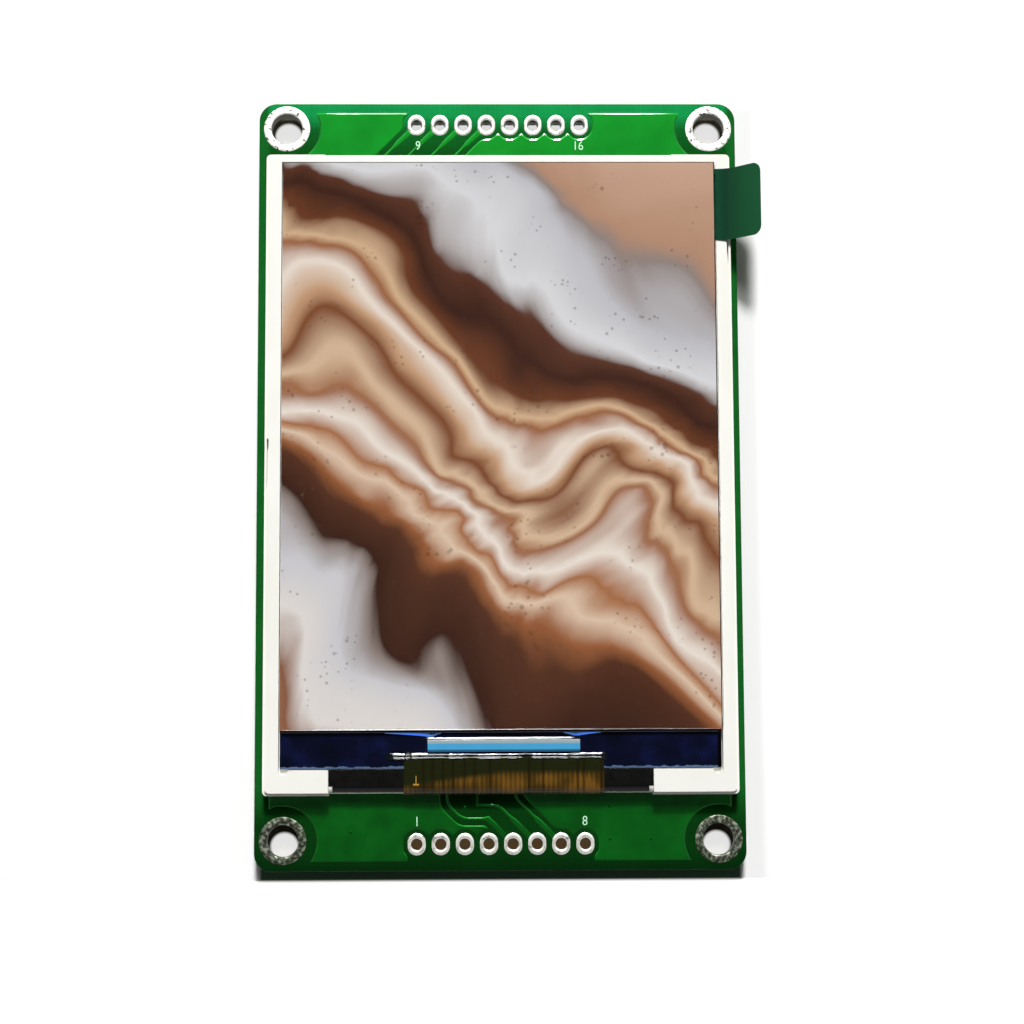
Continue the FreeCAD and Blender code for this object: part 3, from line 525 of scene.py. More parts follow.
# Rear lands
# The open ends of the rear foil, tinned, on which the small parts are soldered.
land_shoulder = 0.03
land_shape = cushion("rear_lands", rear_lands, land_shoulder)
for vert in land_shape.verts:
    vert.co.z = rear_high.z - foil * max(vert.co.z / land_shoulder, 0)
bmesh.ops.recalc_face_normals(land_shape, faces=land_shape.faces)
put("rear_lands", finished(land_shape, "rear_lands"), tin, "tin_plating")

# Pin numbers
# White epoxy ink printed through a screen: the numbers of the first and last pin of each row.
number_size = 1.42
number_breadth = 0.85
number_thinning = 0.006
ink_height = 0.02
pin_numbers = {"9": (-8.73, 36.58), "16": (8.74, 36.58), "1": (-8.86, -36.59), "8": (8.86, -36.58)}


def one_colour(name, colour, *patches, **uniform):
    """A material of one colour with patches in its gloss and surface, as roughen takes them."""
    material, tree, shader, place = start_material(name, Base_Color=linear(colour), **uniform)
    roughen(tree, shader, place, *patches)
    return material


ink = one_colour("white_screen_ink", "#C9F7D6", 0.2, 0.5, 0.7, 0.004)
ink_shape = bmesh.new()
for text, (x, y) in pin_numbers.items():
    letters = bpy.data.curves.new("pin_number", "FONT")
    letters.body = text
    letters.size = number_size
    letters.align_x = "CENTER"
    letters.align_y = "CENTER"
    letters.extrude = ink_height / 2
    letters.offset = -number_thinning
    print_mesh = plain(bpy.data.objects.new("pin_number", letters))
    for vert in print_mesh.vertices:
        vert.co.x *= number_breadth
        vert.co += Vector((x, y, front_high.z + ink_height / 2))
    ink_shape.from_mesh(print_mesh)
bmesh.ops.remove_doubles(ink_shape, verts=ink_shape.verts, dist=joining_reach)
put("pin_numbers", finished(ink_shape, "pin_numbers"), ink, "white_foil")

# Foam tape
# Strips of closed-cell foam, sticky on both faces, that hold the display on the board.
cell_size = 1 / 6
cell_depth = 0.03
foam, tree, shader, place = start_material("closed_cell_foam", Base_Color=linear("#E4E3DC"), Roughness=0.9)
cells = add(tree, "ShaderNodeTexVoronoi", {"Vector": place, "Scale": 1 / cell_size}).outputs["Distance"]
pitted = {"Height": cells, "Distance": cell_depth * millimetre, "Strength": 1.0}
tree.links.new(add(tree, "ShaderNodeBump", pitted).outputs[0], shader.inputs["Normal"])
dress("foam_tape", foam)

# Backlight frame
# White polycarbonate, injection moulded: a thin rim with a step round it, feet at the lower corners, and
# slits and ears that locate the sheets. Its surface is a fine even satin, its corners slightly round.
frame_edge_break = 0.06
bounce_ends = (-17.5, -16.5)
bounce_depth = (0.16, 0.08)
moulded, tree, shader, place = start_material("white_moulded_polycarbonate", Specular_IOR_Level=0.3)
roughen(tree, shader, place, 0.25, 0.44, 0.56, 0.003)
patch = add(tree, "ShaderNodeTexNoise", {"Vector": place, "Scale": 0.12, "Detail": 2.0}).outputs[0]
moulded_tone = add(tree, "ShaderNodeValToRGB", {0: patch}, [(0.3, "#F4F3EA"), (0.7, "#F9F8F1")]).outputs[0]
bar_high = corners_of("backlight_frame")[1]
at = add(tree, "ShaderNodeSeparateXYZ", {0: place}).outputs
sideways = add(tree, "ShaderNodeMath", {0: at[0]}, operation="ABSOLUTE").outputs[0]
inward = add(tree, "ShaderNodeMath", {0: bar_high.x, 1: sideways}, operation="SUBTRACT").outputs[0]
# Painted green reflection and shade: near the outer sides, above the feet, the top and upper side walls are
# tinted a darker green, as if lit by the board
painted_green_bounce_stops = [(0.0, "#9DB890"), (0.1, "#B5CBA6"), (0.15, "#F6F8E6"), (0.45, "#FFFFFF")]
painted_green_bounce = add(tree, "ShaderNodeValToRGB", {0: inward}, painted_green_bounce_stops).outputs[0]
above_feet = {"Value": at[1], "From Min": bounce_ends[0], "From Max": bounce_ends[1]}
above_feet = add(tree, "ShaderNodeMapRange", above_feet).outputs[0]
near_top = [bar_high.z - depth for depth in bounce_depth]
near_top = {"Value": at[2], "From Min": near_top[0], "From Max": near_top[1]}
near_top = add(tree, "ShaderNodeMapRange", near_top).outputs[0]
above_feet = add(tree, "ShaderNodeMath", {0: above_feet, 1: near_top}, operation="MULTIPLY").outputs[0]
bounce_blend = {0: above_feet, 6: moulded_tone, 7: painted_green_bounce}
moulded_tone = add(tree, "ShaderNodeMix", bounce_blend, data_type="RGBA", blend_type="MULTIPLY").outputs[2]
tree.links.new(moulded_tone, shader.inputs["Base Color"])
frame_mesh = softened("backlight_frame", frame_edge_break)
put("moulded_frame", frame_mesh, moulded, "white_polycarbonate", "backlight_frame")

# Backlight sheets
# A white mirror foil, an acrylic light guide with printed dots, a diffuser and two prism foils, laid one on
# another in the frame. Nothing but their weight and the rim tape holds them.
dot_spacing = 1 / 3
dot_depth = 0.01
prism_pitch = 0.12
prism_depth = 0.02
dress("reflector_sheet", one_colour("white_mirror_foil", "#F4F4F2", 1.5, 0.2, 0.3, 0.002))
guide = {"Base_Color": linear("#F2FAFF"), "Roughness": 0.05, "IOR": 1.49, "Transmission_Weight": 1.0}
acrylic, tree, shader, place = start_material("moulded_acrylic", **guide)
dots = {"Vector": place, "Scale": 1 / dot_spacing}
dots = add(tree, "ShaderNodeTexVoronoi", dots, feature="DISTANCE_TO_EDGE").outputs[0]
printed = {"Height": dots, "Distance": dot_depth * millimetre, "Strength": 0.5}
tree.links.new(add(tree, "ShaderNodeBump", printed).outputs[0], shader.inputs["Normal"])
dress("light_guide_plate", acrylic)
dress("diffuser_sheet", one_colour("frosted_polyester", "#E6EAF0", 0.05, 0.45, 0.6, 0.002))
prisms, tree, shader, place = start_material("prism_polyester", Base_Color=linear("#E8ECF2"), Roughness=0.2)
ridge = {"Vector": place, "Scale": band_scale(prism_pitch)}
ridges = add(tree, "ShaderNodeTexWave", ridge, wave_profile="TRI").outputs["Fac"]
ribbed = {"Height": ridges, "Distance": prism_depth * millimetre, "Strength": 1.0}
tree.links.new(add(tree, "ShaderNodeBump", ribbed).outputs[0], shader.inputs["Normal"])
dress("prism_sheet_lower", prisms)
dress("prism_sheet_upper", prisms)

# Backlight lamps
# Four side-firing lamps on a narrow flexible strip: white housings with a yellow phosphor window each.
dress("backlight_leds", one_colour("lamp_housing_plastic", "#EFEDE2", 0.2, 0.45, 0.6, 0.002))
dress("led_lenses", one_colour("phosphor_gel", "#E8C63C", 0.15, 0.1, 0.25, 0.003))

# Rim tape
# Black polyester tape on the frame's seat. It holds the glass and stops light round the picture.
black = one_colour("black_polyester_tape", "#0C0D0B", 0.8, 0.24, 0.32, 0.002, Specular_IOR_Level=0.2)
dress("rim_tape", black)

# Display cell
# Two sheets of thin glass sealed face to face, ground at their edges, with a polariser stuck on each side.
# The rear glass is longer and carries the driver chip on its ledge, over fine conductors.
glass_edge_break = 0.07
fan_pitch = 0.16
painted_glint_band = {"From Min": 0.05, "From Max": 0.09, "To Min": 1.0, "To Max": 0.0}
dark_strip_insets = (0.42, 0.38)
glass_low, glass_high = corners_of("tft_glass")

# Thin polished glass over dark layers: near black, faintly lined, pale grey where it was ground, with a
# painted bluish glint in a broken line along the lower edge, and a painted near-black strip along the right
# edge
cell_glass, tree, shader, place = start_material("thin_display_glass", Roughness=0.06, IOR=1.52)
drift = add(tree, "ShaderNodeTexNoise", {"Vector": place, "Scale": 0.3, "Detail": 3.0}).outputs[0]
ledge_stops = [(0.35, "#06070E"), (0.55, "#0A0D22"), (0.72, "#101640")]
ledge_tone = add(tree, "ShaderNodeValToRGB", {0: drift}, ledge_stops).outputs[0]
lines = {"Vector": place, "Scale": band_scale(fan_pitch), "Distortion": 1.5, "Detail": 1.0}
lines = add(tree, "ShaderNodeTexWave", lines).outputs["Fac"]
line_tone = add(tree, "ShaderNodeValToRGB", {0: lines}, [(0.6, "#04050A"), (0.9, "#20306E")]).outputs[0]
lined = {0: 0.12, 6: ledge_tone, 7: line_tone}
ledge_mix = add(tree, "ShaderNodeMix", lined, data_type="RGBA").outputs[2]
normal = add(tree, "ShaderNodeNewGeometry").outputs["Normal"]
facing = add(tree, "ShaderNodeSeparateXYZ", {0: normal}).outputs[2]
flat = add(tree, "ShaderNodeMath", {0: facing}, operation="ABSOLUTE").outputs[0]
ground = {"Value": flat, "From Min": 0.75, "From Max": 0.9}
polished = add(tree, "ShaderNodeMapRange", ground).outputs[0]
edged = {0: polished, 6: linear("#5B6468"), 7: ledge_mix}
glass_tone = add(tree, "ShaderNodeMix", edged, data_type="RGBA").outputs[2]
at = add(tree, "ShaderNodeSeparateXYZ", {0: place}).outputs
# Painted glint: a bluish broken line along the lower edge
glint_breaks = add(tree, "ShaderNodeTexNoise", {"Vector": place, "Scale": 1.6, "Detail": 2.0}).outputs[0]
glint_edge = {0: glint_breaks, 1: 0.5, 2: glass_low.y - 0.12}
glint_edge = add(tree, "ShaderNodeMath", glint_edge, operation="MULTIPLY_ADD").outputs[0]
above = add(tree, "ShaderNodeMath", {0: at[1], 1: glint_edge}, operation="SUBTRACT").outputs[0]
glint_strip = {"Value": above, **painted_glint_band}
glint_strip = add(tree, "ShaderNodeMapRange", glint_strip).outputs[0]
# Painted dark strip: near black along the right edge, standing for the dark gap beside the frame
dark_right_strip = [glass_high.x - inset for inset in dark_strip_insets]
dark_right_strip = {"Value": at[0], "From Min": dark_right_strip[0], "From Max": dark_right_strip[1]}
dark_right_strip = add(tree, "ShaderNodeMapRange", dark_right_strip).outputs[0]
glinted = {0: glint_strip, 6: glass_tone, 7: linear("#52688A")}
glass_tone = add(tree, "ShaderNodeMix", glinted, data_type="RGBA").outputs[2]
right_strip_darkened = {0: dark_right_strip, 6: glass_tone, 7: linear("#030304")}
glass_tone = add(tree, "ShaderNodeMix", right_strip_darkened, data_type="RGBA").outputs[2]
tree.links.new(glass_tone, shader.inputs["Base Color"])
for name, node in (("rear_glass", "tft_glass"), ("front_glass", "colour_filter_glass")):
    put(name, softened(node, glass_edge_break, 1), cell_glass, "display_glass", node)
dress("lower_polariser", one_colour("grey_polariser", "#3A3835", 1.0, 0.15, 0.25, 0.001))

# Picture
# The lit front polariser. It shows a generic still image: polished layered stone in browns, cream and pale
# grey. The glow is the image itself, and the film over it is glossy.
layer_span = 92.0
layer_direction = (0.52, 0.86, 0.0)
edge_inset = 0.01
speck_share = 0.42
dark_film = {"Base_Color": linear("#050505"), "Roughness": 0.08, "Emission_Strength": 1.0}
screen, tree, shader, place = start_material("lit_picture_under_polariser", **dark_film)
place_now = place
for size, amount in ((0.034, 42.0), (0.13, 7.0), (0.5, 1.1)):
    swirl = {"Vector": place_now, "Scale": size, "Detail": 1.5, "Roughness": 0.4}
    swung = add(tree, "ShaderNodeTexNoise", swirl).outputs["Color"]
    centred = add(tree, "ShaderNodeVectorMath", {0: swung, 1: (0.5,) * 3}, operation="SUBTRACT").outputs[0]
    bent = {0: centred, 1: (amount, amount, 0.0), 2: place_now}
    place_now = add(tree, "ShaderNodeVectorMath", bent, operation="MULTIPLY_ADD").outputs[0]
across_layers = {0: place_now, 1: layer_direction}
across_layers = add(tree, "ShaderNodeVectorMath", across_layers, operation="DOT_PRODUCT").outputs["Value"]
spread = {0: across_layers, 1: 1 / layer_span, 2: 0.5}
layer = add(tree, "ShaderNodeMath", spread, operation="MULTIPLY_ADD").outputs[0]
layer_stops = [
    (0.00, "#C8A189"),
    (0.12, "#B48468"),
    (0.16, "#8A5A40"),
    (0.19, "#E3DDD8"),
    (0.25, "#CFCDD1"),
    (0.285, "#8D7F78"),
    (0.30, "#3A1F14"),
    (0.36, "#54301E"),
    (0.385, "#9A5E38"),
    (0.41, "#E0C6AC"),
    (0.43, "#A86C44"),
    (0.45, "#F0E6DA"),
    (0.475, "#9A5E38"),
    (0.49, "#DDBE9E"),
    (0.515, "#7C4526"),
    (0.535, "#C99F7B"),
    (0.56, "#EFE3D6"),
    (0.585, "#9A5E38"),
    (0.60, "#D8B591"),
    (0.625, "#6B3B22"),
    (0.66, "#3C2016"),
    (0.695, "#5A3322"),
    (0.705, "#A39A98"),
    (0.73, "#DEDDDF"),
    (0.79, "#C4C3C8"),
    (0.825, "#93857F"),
    (0.85, "#B88E74"),
    (0.93, "#CBA48C"),
    (1.0, "#D3B3A0"),
]
image = add(tree, "ShaderNodeValToRGB", {0: layer}, layer_stops).outputs[0]
speck_cells = {"Vector": place, "Scale": 1.3, "Randomness": 1.0}
speck = add(tree, "ShaderNodeTexVoronoi", speck_cells).outputs["Distance"]
speck_size = add(tree, "ShaderNodeTexNoise", {"Vector": place, "Scale": 0.2, "Detail": 2.0}).outputs[0]
reach = add(tree, "ShaderNodeMath", {0: speck_size, 1: speck_share}, operation="SUBTRACT").outputs[0]
dark = add(tree, "ShaderNodeMath", {0: speck, 1: reach}, operation="LESS_THAN").outputs[0]
shade = add(tree, "ShaderNodeMath", {0: dark, 1: 0.35}, operation="MULTIPLY").outputs[0]
specked = {0: shade, 6: image, 7: linear("#2A140C")}
image = add(tree, "ShaderNodeMix", specked, data_type="RGBA").outputs[2]
tree.links.new(image, shader.inputs["Emission Color"])
picture_low = corners_of("upper_polariser")[0]
cell_low, cell_high = corners_of("colour_filter_glass")
sheet = merged("upper_polariser")
for vert in sheet.verts:
    vert.co.x = cell_high.x - edge_inset if vert.co.x > 0 else cell_low.x + edge_inset
    vert.co.y = cell_high.y - edge_inset if vert.co.y > 0 else picture_low.y
put("lit_polariser", finished(sheet, "lit_polariser"), screen, "polariser_film", "upper_polariser")

# Sheets that bend
# The protective film, its pull tab, the flex circuit and the shade tape are flat sheets cut to an outline,
# then laid along straight runs and bends. Film and tab are stuck on the polariser's face and edge.
bend_step = 6.0
tab_low, tab_high = corners_of("pull_tab")
tab_thickness = 0.08
tab_corner = 1.0
tab_flat = 0.33
tab_moves = [(0, tab_flat), (3.0, 44.0), (0, 3.3)]


def course(moves):
    """Stops along a course of runs and bends: distance gone, then the place and the heading there."""
    gone = along = up = heading = 0.0
    stops = [(gone, along, up, heading)]
    for radius, amount in moves:
        parts = math.ceil(abs(amount) / bend_step) if radius else 1
        turn = math.radians(amount) / parts if radius else 0.0
        stride = 2 * radius * math.sin(abs(turn) / 2) if radius else amount
        for _ in range(parts):
            heading += turn / 2
            along += stride * math.cos(heading)
            up += stride * math.sin(heading)
            heading += turn / 2
            gone += radius * abs(turn) if radius else amount
            stops.append((gone, along, up, heading))
    return stops


def laid(name, outline, moves, thickness, start, toward, side):
    """A sheet cut to an outline of (distance, width) corners in mm and laid along a course from its start."""
    stops = course(moves)
    shape = bmesh.new()
    face = shape.faces.new([shape.verts.new((s, w, -thickness / 2)) for s, w in outline])
    grown_up = bmesh.ops.extrude_face_region(shape, geom=[face])["geom"]
    top = [item for item in grown_up if isinstance(item, bmesh.types.BMVert)]
    bmesh.ops.translate(shape, verts=top, vec=(0, 0, thickness))
    for gone, _, _, _ in stops[1:-1]:
        everything = list(shape.verts) + list(shape.edges) + list(shape.faces)
        cut = {"plane_co": (gone, 0, 0), "plane_no": (1, 0, 0), "dist": joining_reach}
        bmesh.ops.bisect_plane(shape, geom=everything, **cut)
    for vert in shape.verts:
        s, w, t = vert.co
        number = next((i for i in range(1, len(stops)) if s <= stops[i][0] + joining_reach), len(stops) - 1)
        before, after = stops[number - 1], stops[number]
        part = (s - before[0]) / (after[0] - before[0])
        _, along, up, heading = (a + (b - a) * part for a, b in zip(before, after))
        along -= t * math.sin(heading)
        up += t * math.cos(heading)
        vert.co = Vector(start) + Vector(toward) * along + Vector((0, 0, up)) + Vector(side) * w
    bmesh.ops.recalc_face_normals(shape, faces=shape.faces)
    return finished(shape, name)


# Green tab film: a dyed glossy polyester, a little deeper where it curls
tab_gloss = {"Roughness": 0.12, "Specular_IOR_Level": 0.06}
tab_film, tree, shader, place = start_material("green_dyed_polyester", **tab_gloss)
across_tab = add(tree, "ShaderNodeSeparateXYZ", {0: place}).outputs[0]
tab_part = {"Value": across_tab, "From Min": tab_low.x, "From Max": tab_high.x}
tab_fade = add(tree, "ShaderNodeMapRange", tab_part).outputs[0]
tab_stops = [(0.0, "#194A34"), (0.3, "#153C29"), (0.6, "#15502F"), (1.0, "#195835")]
tab_tone = add(tree, "ShaderNodeValToRGB", {0: tab_fade}, tab_stops).outputs[0]
tree.links.new(tab_tone, shader.inputs["Base Color"])
tab_length = course(tab_moves)[-1][0]
tab_outline = [(0, tab_low.y), (0, tab_high.y)]
for corner_y, first in ((tab_high.y - tab_corner, 90), (tab_low.y + tab_corner, 0)):
    for step in range(0, 91, 10):
        angle = math.radians(first - step)
        corner_s = tab_length - tab_corner * (1 - math.cos(angle))
        tab_outline.append((corner_s, corner_y + tab_corner * math.sin(angle)))
tab_start = (tab_low.x, 0, tab_low.z + tab_thickness / 2)
tab_mesh = laid("pull_tab", tab_outline, tab_moves, tab_thickness, tab_start, (1, 0, 0), (0, 1, 0))
put("pull_tab", tab_mesh, tab_film, "green_film", "pull_tab")

# Clear film: thin polyester whose lower edge has lifted in a small curl, least at the right
film_low, film_high = corners_of("protective_film")
film_curl = 0.3
film_flat = film_high.y - film_low.y - film_curl
film_lift = [(0, film_flat), (0.7, 24.0)]
right_lift_lost = 0.8
see_through = {"IOR": 1.5, "Transmission_Weight": 1.0}
clear = one_colour("clear_protective_polyester", "#FFFFFF", 8.0, 0.02, 0.05, 0.0005, **see_through)
film_thickness = film_high.z - film_low.z
film_length = course(film_lift)[-1][0]
film_outline = [(0, film_low.x), (0, film_high.x), (film_length, film_high.x), (film_length, film_low.x)]
film_start = (0, film_high.y, film_low.z + film_thickness / 2)
film_mesh = laid("clear_film", film_outline, film_lift, film_thickness, film_start, (0, -1, 0), (1, 0, 0))
for vert in film_mesh.vertices:
    if vert.co.y / millimetre < film_high.y - film_flat - joining_reach:
        share = (vert.co.x / millimetre - film_low.x) / (film_high.x - film_low.x)
        vert.co.z -= (vert.co.z - film_low.z * millimetre) * share * right_lift_lost
put("clear_film", film_mesh, clear, "clear_film", "protective_film")

# Driver chip
# A long bare silicon chip, face down on the ledge over anisotropic glue. Its polished back has a painted
# blue reflection, darker toward its lower side, with a painted pale highlight along its upper side, and its
# sawn edges are slightly broken.
chip_low, chip_high = corners_of("driver_chip")
chip_edge_break = 0.04
silicon, tree, shader, place = start_material("polished_silicon", Metallic=0.35)
roughen(tree, shader, place, 1.2, 0.14, 0.26, 0.002)
across_chip = add(tree, "ShaderNodeSeparateXYZ", {0: place}).outputs[1]
chip_part = {"Value": across_chip, "From Min": chip_low.y, "From Max": chip_high.y}
chip_fade = add(tree, "ShaderNodeMapRange", chip_part).outputs[0]
# Painted reflection: blue across the chip's back, darker toward its lower side, pale along its upper side
painted_reflection_stops = [(0.0, "#265C80"), (0.16, "#3779A6"), (0.24, "#58C2FA")]
painted_reflection_stops += [(0.64, "#58C2FA"), (0.74, "#B4CCD4"), (1.0, "#C9D3D6")]
painted_chip_reflection = add(tree, "ShaderNodeValToRGB", {0: chip_fade}, painted_reflection_stops).outputs[0]
tree.links.new(painted_chip_reflection, shader.inputs["Base Color"])
put("driver_chip", softened("driver_chip", chip_edge_break), silicon, "polished_silicon", "driver_chip")

# Fan-out tracks
# Fine metal tracks on the ledge that spread from the chip's upper corners to the display's columns. Each
# bundle is painted blue with a faint painted glow, a painted blue glint.
track_width = 0.07
track_height = 0.008
track_count = 14
track_bend = 0.8
track_stations = 9
fan_sizes = {"Tracks": "Int", "Foot": "Vector", "Foot Step": "Vector"}
fan_sizes.update({"Head": "Vector", "Head Step": "Vector", "Bend": "Float"})
fan, given = start_tree("fan_out_tracks", fan_sizes)
strand = add(fan, "GeometryNodeCurvePrimitiveLine", {"End": (1.0, 0.0, 0.0)}).outputs[0]
strand = add(fan, "GeometryNodeResampleCurve", {"Curve": strand, "Count": track_stations}).outputs[0]
strands = {"Geometry": strand, "Amount": given["Tracks"]}
strands = add(fan, "GeometryNodeDuplicateElements", strands, domain="SPLINE").outputs
along = add(fan, "GeometryNodeSplineParameter").outputs["Factor"]
foot_shift = {0: given["Foot Step"], "Scale": strands["Duplicate Index"]}
foot_shift = add(fan, "ShaderNodeVectorMath", foot_shift, operation="SCALE").outputs[0]
foot = add(fan, "ShaderNodeVectorMath", {0: given["Foot"], 1: foot_shift}, operation="ADD").outputs[0]
head_shift = {0: given["Head Step"], "Scale": strands["Duplicate Index"]}
head_shift = add(fan, "ShaderNodeVectorMath", head_shift, operation="SCALE").outputs[0]
head = add(fan, "ShaderNodeVectorMath", {0: given["Head"], 1: head_shift}, operation="ADD").outputs[0]
rise = add(fan, "ShaderNodeMath", {0: along, 1: given["Bend"]}, operation="POWER").outputs[0]
share = add(fan, "ShaderNodeCombineXYZ", {0: along, 1: rise, 2: along}).outputs[0]
reach = add(fan, "ShaderNodeVectorMath", {0: head, 1: foot}, operation="SUBTRACT").outputs[0]
spot = {0: reach, 1: share, 2: foot}
spot = add(fan, "ShaderNodeVectorMath", spot, operation="MULTIPLY_ADD").outputs[0]
spread = add(fan, "GeometryNodeSetPosition", {"Geometry": strands["Geometry"], "Position": spot}).outputs[0]
section = add(fan, "GeometryNodeMeshToCurve", {"Mesh": given["Section"]}).outputs[0]
tracks = {"Curve": spread, "Profile Curve": section, "Fill Caps": True}
tracks = add(fan, "GeometryNodeCurveToMesh", tracks).outputs[0]
end_tree(fan, tracks, given["Material"])
# Painted glow: the tracks glow faintly blue, a painted blue glint
painted_blue_glow = {"Metallic": 0.1, "Emission_Color": linear("#5A93DC"), "Emission_Strength": 0.4}
blue_glowing_tracks = one_colour("metal_tracks_with_painted_glow", "#7FAAE8", 0.6, 0.25, 0.4, 0.001, **painted_blue_glow)
half_track = (track_width / 2, track_height / 2)
for number, (foot, foot_step, head, head_step) in enumerate(
    (
        ((-7.15, -27.66), -0.035, (-6.3, -27.31), -0.45),
        ((7.7, -27.60), 0.035, (6.65, -27.31), 0.29),
    )
):
    square = bpy.data.meshes.new("track_section")
    corners = [(x * half_track[0], y * half_track[1], 0) for x, y in ((1, 1), (-1, 1), (-1, -1), (1, -1))]
    square.from_pydata(corners, [(0, 1), (1, 2), (2, 3), (3, 0)], [])
    fan_values = {
        "Tracks": track_count,
        "Foot": (*foot, chip_low.z),
        "Foot Step": (foot_step, 0.0, 0.0),
        "Head": (*head, chip_low.z),
        "Head Step": (head_step, 0.0, 0.0),
        "Bend": track_bend,
        "Material": blue_glowing_tracks,
    }
    name = "fan_out_tracks_" + str(number + 1)
    put(name, grown(fan, name, square, fan_values), blue_glowing_tracks, "polished_silicon")

# Resin beads
# Clear silicone run by needle along the chip's upper side and the flex's bonded edge. The beads vary in
# width and height as the needle moved, and shine in short broken glints. A small loop fell on the flex.
flex_low, flex_high = corners_of("flex_circuit")
flex_bond_y = glass_low.y + 1.1
bead_stations = 330
bead_end = 0.9
end_loss = 0.85
loop_middle = (-9.77, -29.72)
loop_radius = 0.36
loop_thread = 0.06
loop_steps = 3
chip_bead = [(0.22, 0.0), (0.19, 0.01), (0.05, 0.06), (0.03, 0.06), (0.01, 0.02), (0.01, 0.0)]
flex_bead = [
    (0.36, 0.0),
    (0.32, 0.015),
    (0.13, 0.079),
    (0.10, 0.08),
    (0.02, 0.05),
    (-0.02, 0.055),
    (-0.22, 0.122),
    (-0.27, 0.13),
    (-0.36, 0.12),
    (-0.36, 0.09),
    (-0.12, 0.06),
    (-0.12, 0.0),
]
bead_sizes = {"Start": "Vector", "End": "Vector", "Stations": "Int"}
bead_sizes.update({"Sway": "Float", "Heave": "Float", "Seed": "Float"})
beads, given = start_tree("resin_beads", bead_sizes)
run = add(beads, "GeometryNodeCurvePrimitiveLine", {"Start": given["Start"], "End": given["End"]}).outputs[0]
run = add(beads, "GeometryNodeResampleCurve", {"Curve": run, "Count": given["Stations"]}).outputs[0]
section = add(beads, "GeometryNodeMeshToCurve", {"Mesh": given["Section"]}).outputs[0]
swept = {"Curve": run, "Profile Curve": section, "Fill Caps": True}
body = add(beads, "GeometryNodeCurveToMesh", swept).outputs[0]
at = add(beads, "GeometryNodeInputPosition").outputs[0]
at_x = add(beads, "ShaderNodeSeparateXYZ", {0: at}).outputs
slow = add(beads, "ShaderNodeCombineXYZ", {0: at_x[0], 1: given["Seed"]}).outputs[0]
wander = add(beads, "ShaderNodeTexNoise", {"Vector": slow, "Scale": 0.9, "Detail": 4.0}).outputs["Color"]
centred = add(beads, "ShaderNodeVectorMath", {0: wander, 1: (0.5,) * 3}, operation="SUBTRACT").outputs[0]
parts = add(beads, "ShaderNodeSeparateXYZ", {0: centred}).outputs
sway = add(beads, "ShaderNodeMath", {0: parts[1], 1: given["Sway"]}, operation="MULTIPLY").outputs[0]
start_z = add(beads, "ShaderNodeSeparateXYZ", {0: given["Start"]}).outputs
above = add(beads, "ShaderNodeMath", {0: at_x[2], 1: start_z[2]}, operation="SUBTRACT").outputs[0]
swell = add(beads, "ShaderNodeMath", {0: parts[2], 1: given["Heave"]}, operation="MULTIPLY").outputs[0]
from_start = add(beads, "ShaderNodeMath", {0: at_x[0], 1: start_z[0]}, operation="SUBTRACT").outputs[0]
end_x = add(beads, "ShaderNodeSeparateXYZ", {0: given["End"]}).outputs[0]
from_end = add(beads, "ShaderNodeMath", {0: end_x, 1: at_x[0]}, operation="SUBTRACT").outputs[0]
nearest = add(beads, "ShaderNodeMath", {0: from_start, 1: from_end}, operation="MINIMUM").outputs[0]
taper = {"Value": nearest, "From Max": bead_end, "To Min": -end_loss, "To Max": 0.0}
tail = add(beads, "ShaderNodeMapRange", taper, interpolation_type="SMOOTHSTEP").outputs[0]
gain = add(beads, "ShaderNodeMath", {0: swell, 1: tail}, operation="ADD").outputs[0]
heave = add(beads, "ShaderNodeMath", {0: above, 1: gain}, operation="MULTIPLY").outputs[0]
offset = add(beads, "ShaderNodeCombineXYZ", {1: sway, 2: heave}).outputs[0]
moved = add(beads, "GeometryNodeSetPosition", {"Geometry": body, "Offset": offset}).outputs[0]
end_tree(beads, moved, given["Material"])
wet = {"IOR": 1.5, "Transmission_Weight": 0.9, "Specular_IOR_Level": 0.9}
resin = one_colour("clear_silicone", "#3E484C", 0.25, 0.06, 0.14, 0.003, **wet)
for number, (section, left, right, y, sway, heave) in enumerate(
    (
        (chip_bead, chip_low.x - 0.6, chip_high.x - 0.2, chip_high.y, 0.04, 0.6),
        (flex_bead, flex_low.x - 1.85, flex_high.x + 0.5, flex_bond_y + 0.14, 0.08, 1.2),
    )
):
    outline = bpy.data.meshes.new("bead_section")
    ends = [(i, (i + 1) % len(section)) for i in range(len(section))]
    outline.from_pydata([(-across, -up, 0) for across, up in section], ends, [])
    bead_values = {
        "Start": (left, y, chip_low.z),
        "End": (right, y, chip_low.z),
        "Stations": bead_stations,
        "Sway": sway,
        "Heave": heave,
        "Seed": 3.0 + 5 * number,
        "Material": resin,
    }
    name = "resin_bead_" + str(number + 1)
    bead = put(name, grown(beads, name, outline, bead_values), resin, "clear_resin")
    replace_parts(bead, "ledge_seal")
thread = bpy.data.curves.new("resin_loop", "CURVE")
thread.dimensions = "3D"
thread.bevel_depth = loop_thread
thread.bevel_resolution = loop_steps
turn = thread.splines.new("POLY")
turn.points.add(len(round_steps) - 1)
for point, angle in zip(turn.points, round_steps):
    loop_x = loop_middle[0] + loop_radius * math.cos(angle)
    loop_y = loop_middle[1] + loop_radius * math.sin(angle)
    point.co = (loop_x, loop_y, flex_high.z + loop_thread / 2, 1)
turn.use_cyclic_u = True
loop_shape = bmesh.new()
loop_shape.from_mesh(plain(bpy.data.objects.new("resin_loop", thread)))
bmesh.ops.recalc_face_normals(loop_shape, faces=loop_shape.faces)
put("resin_loop", finished(loop_shape, "resin_loop"), resin, "clear_resin")

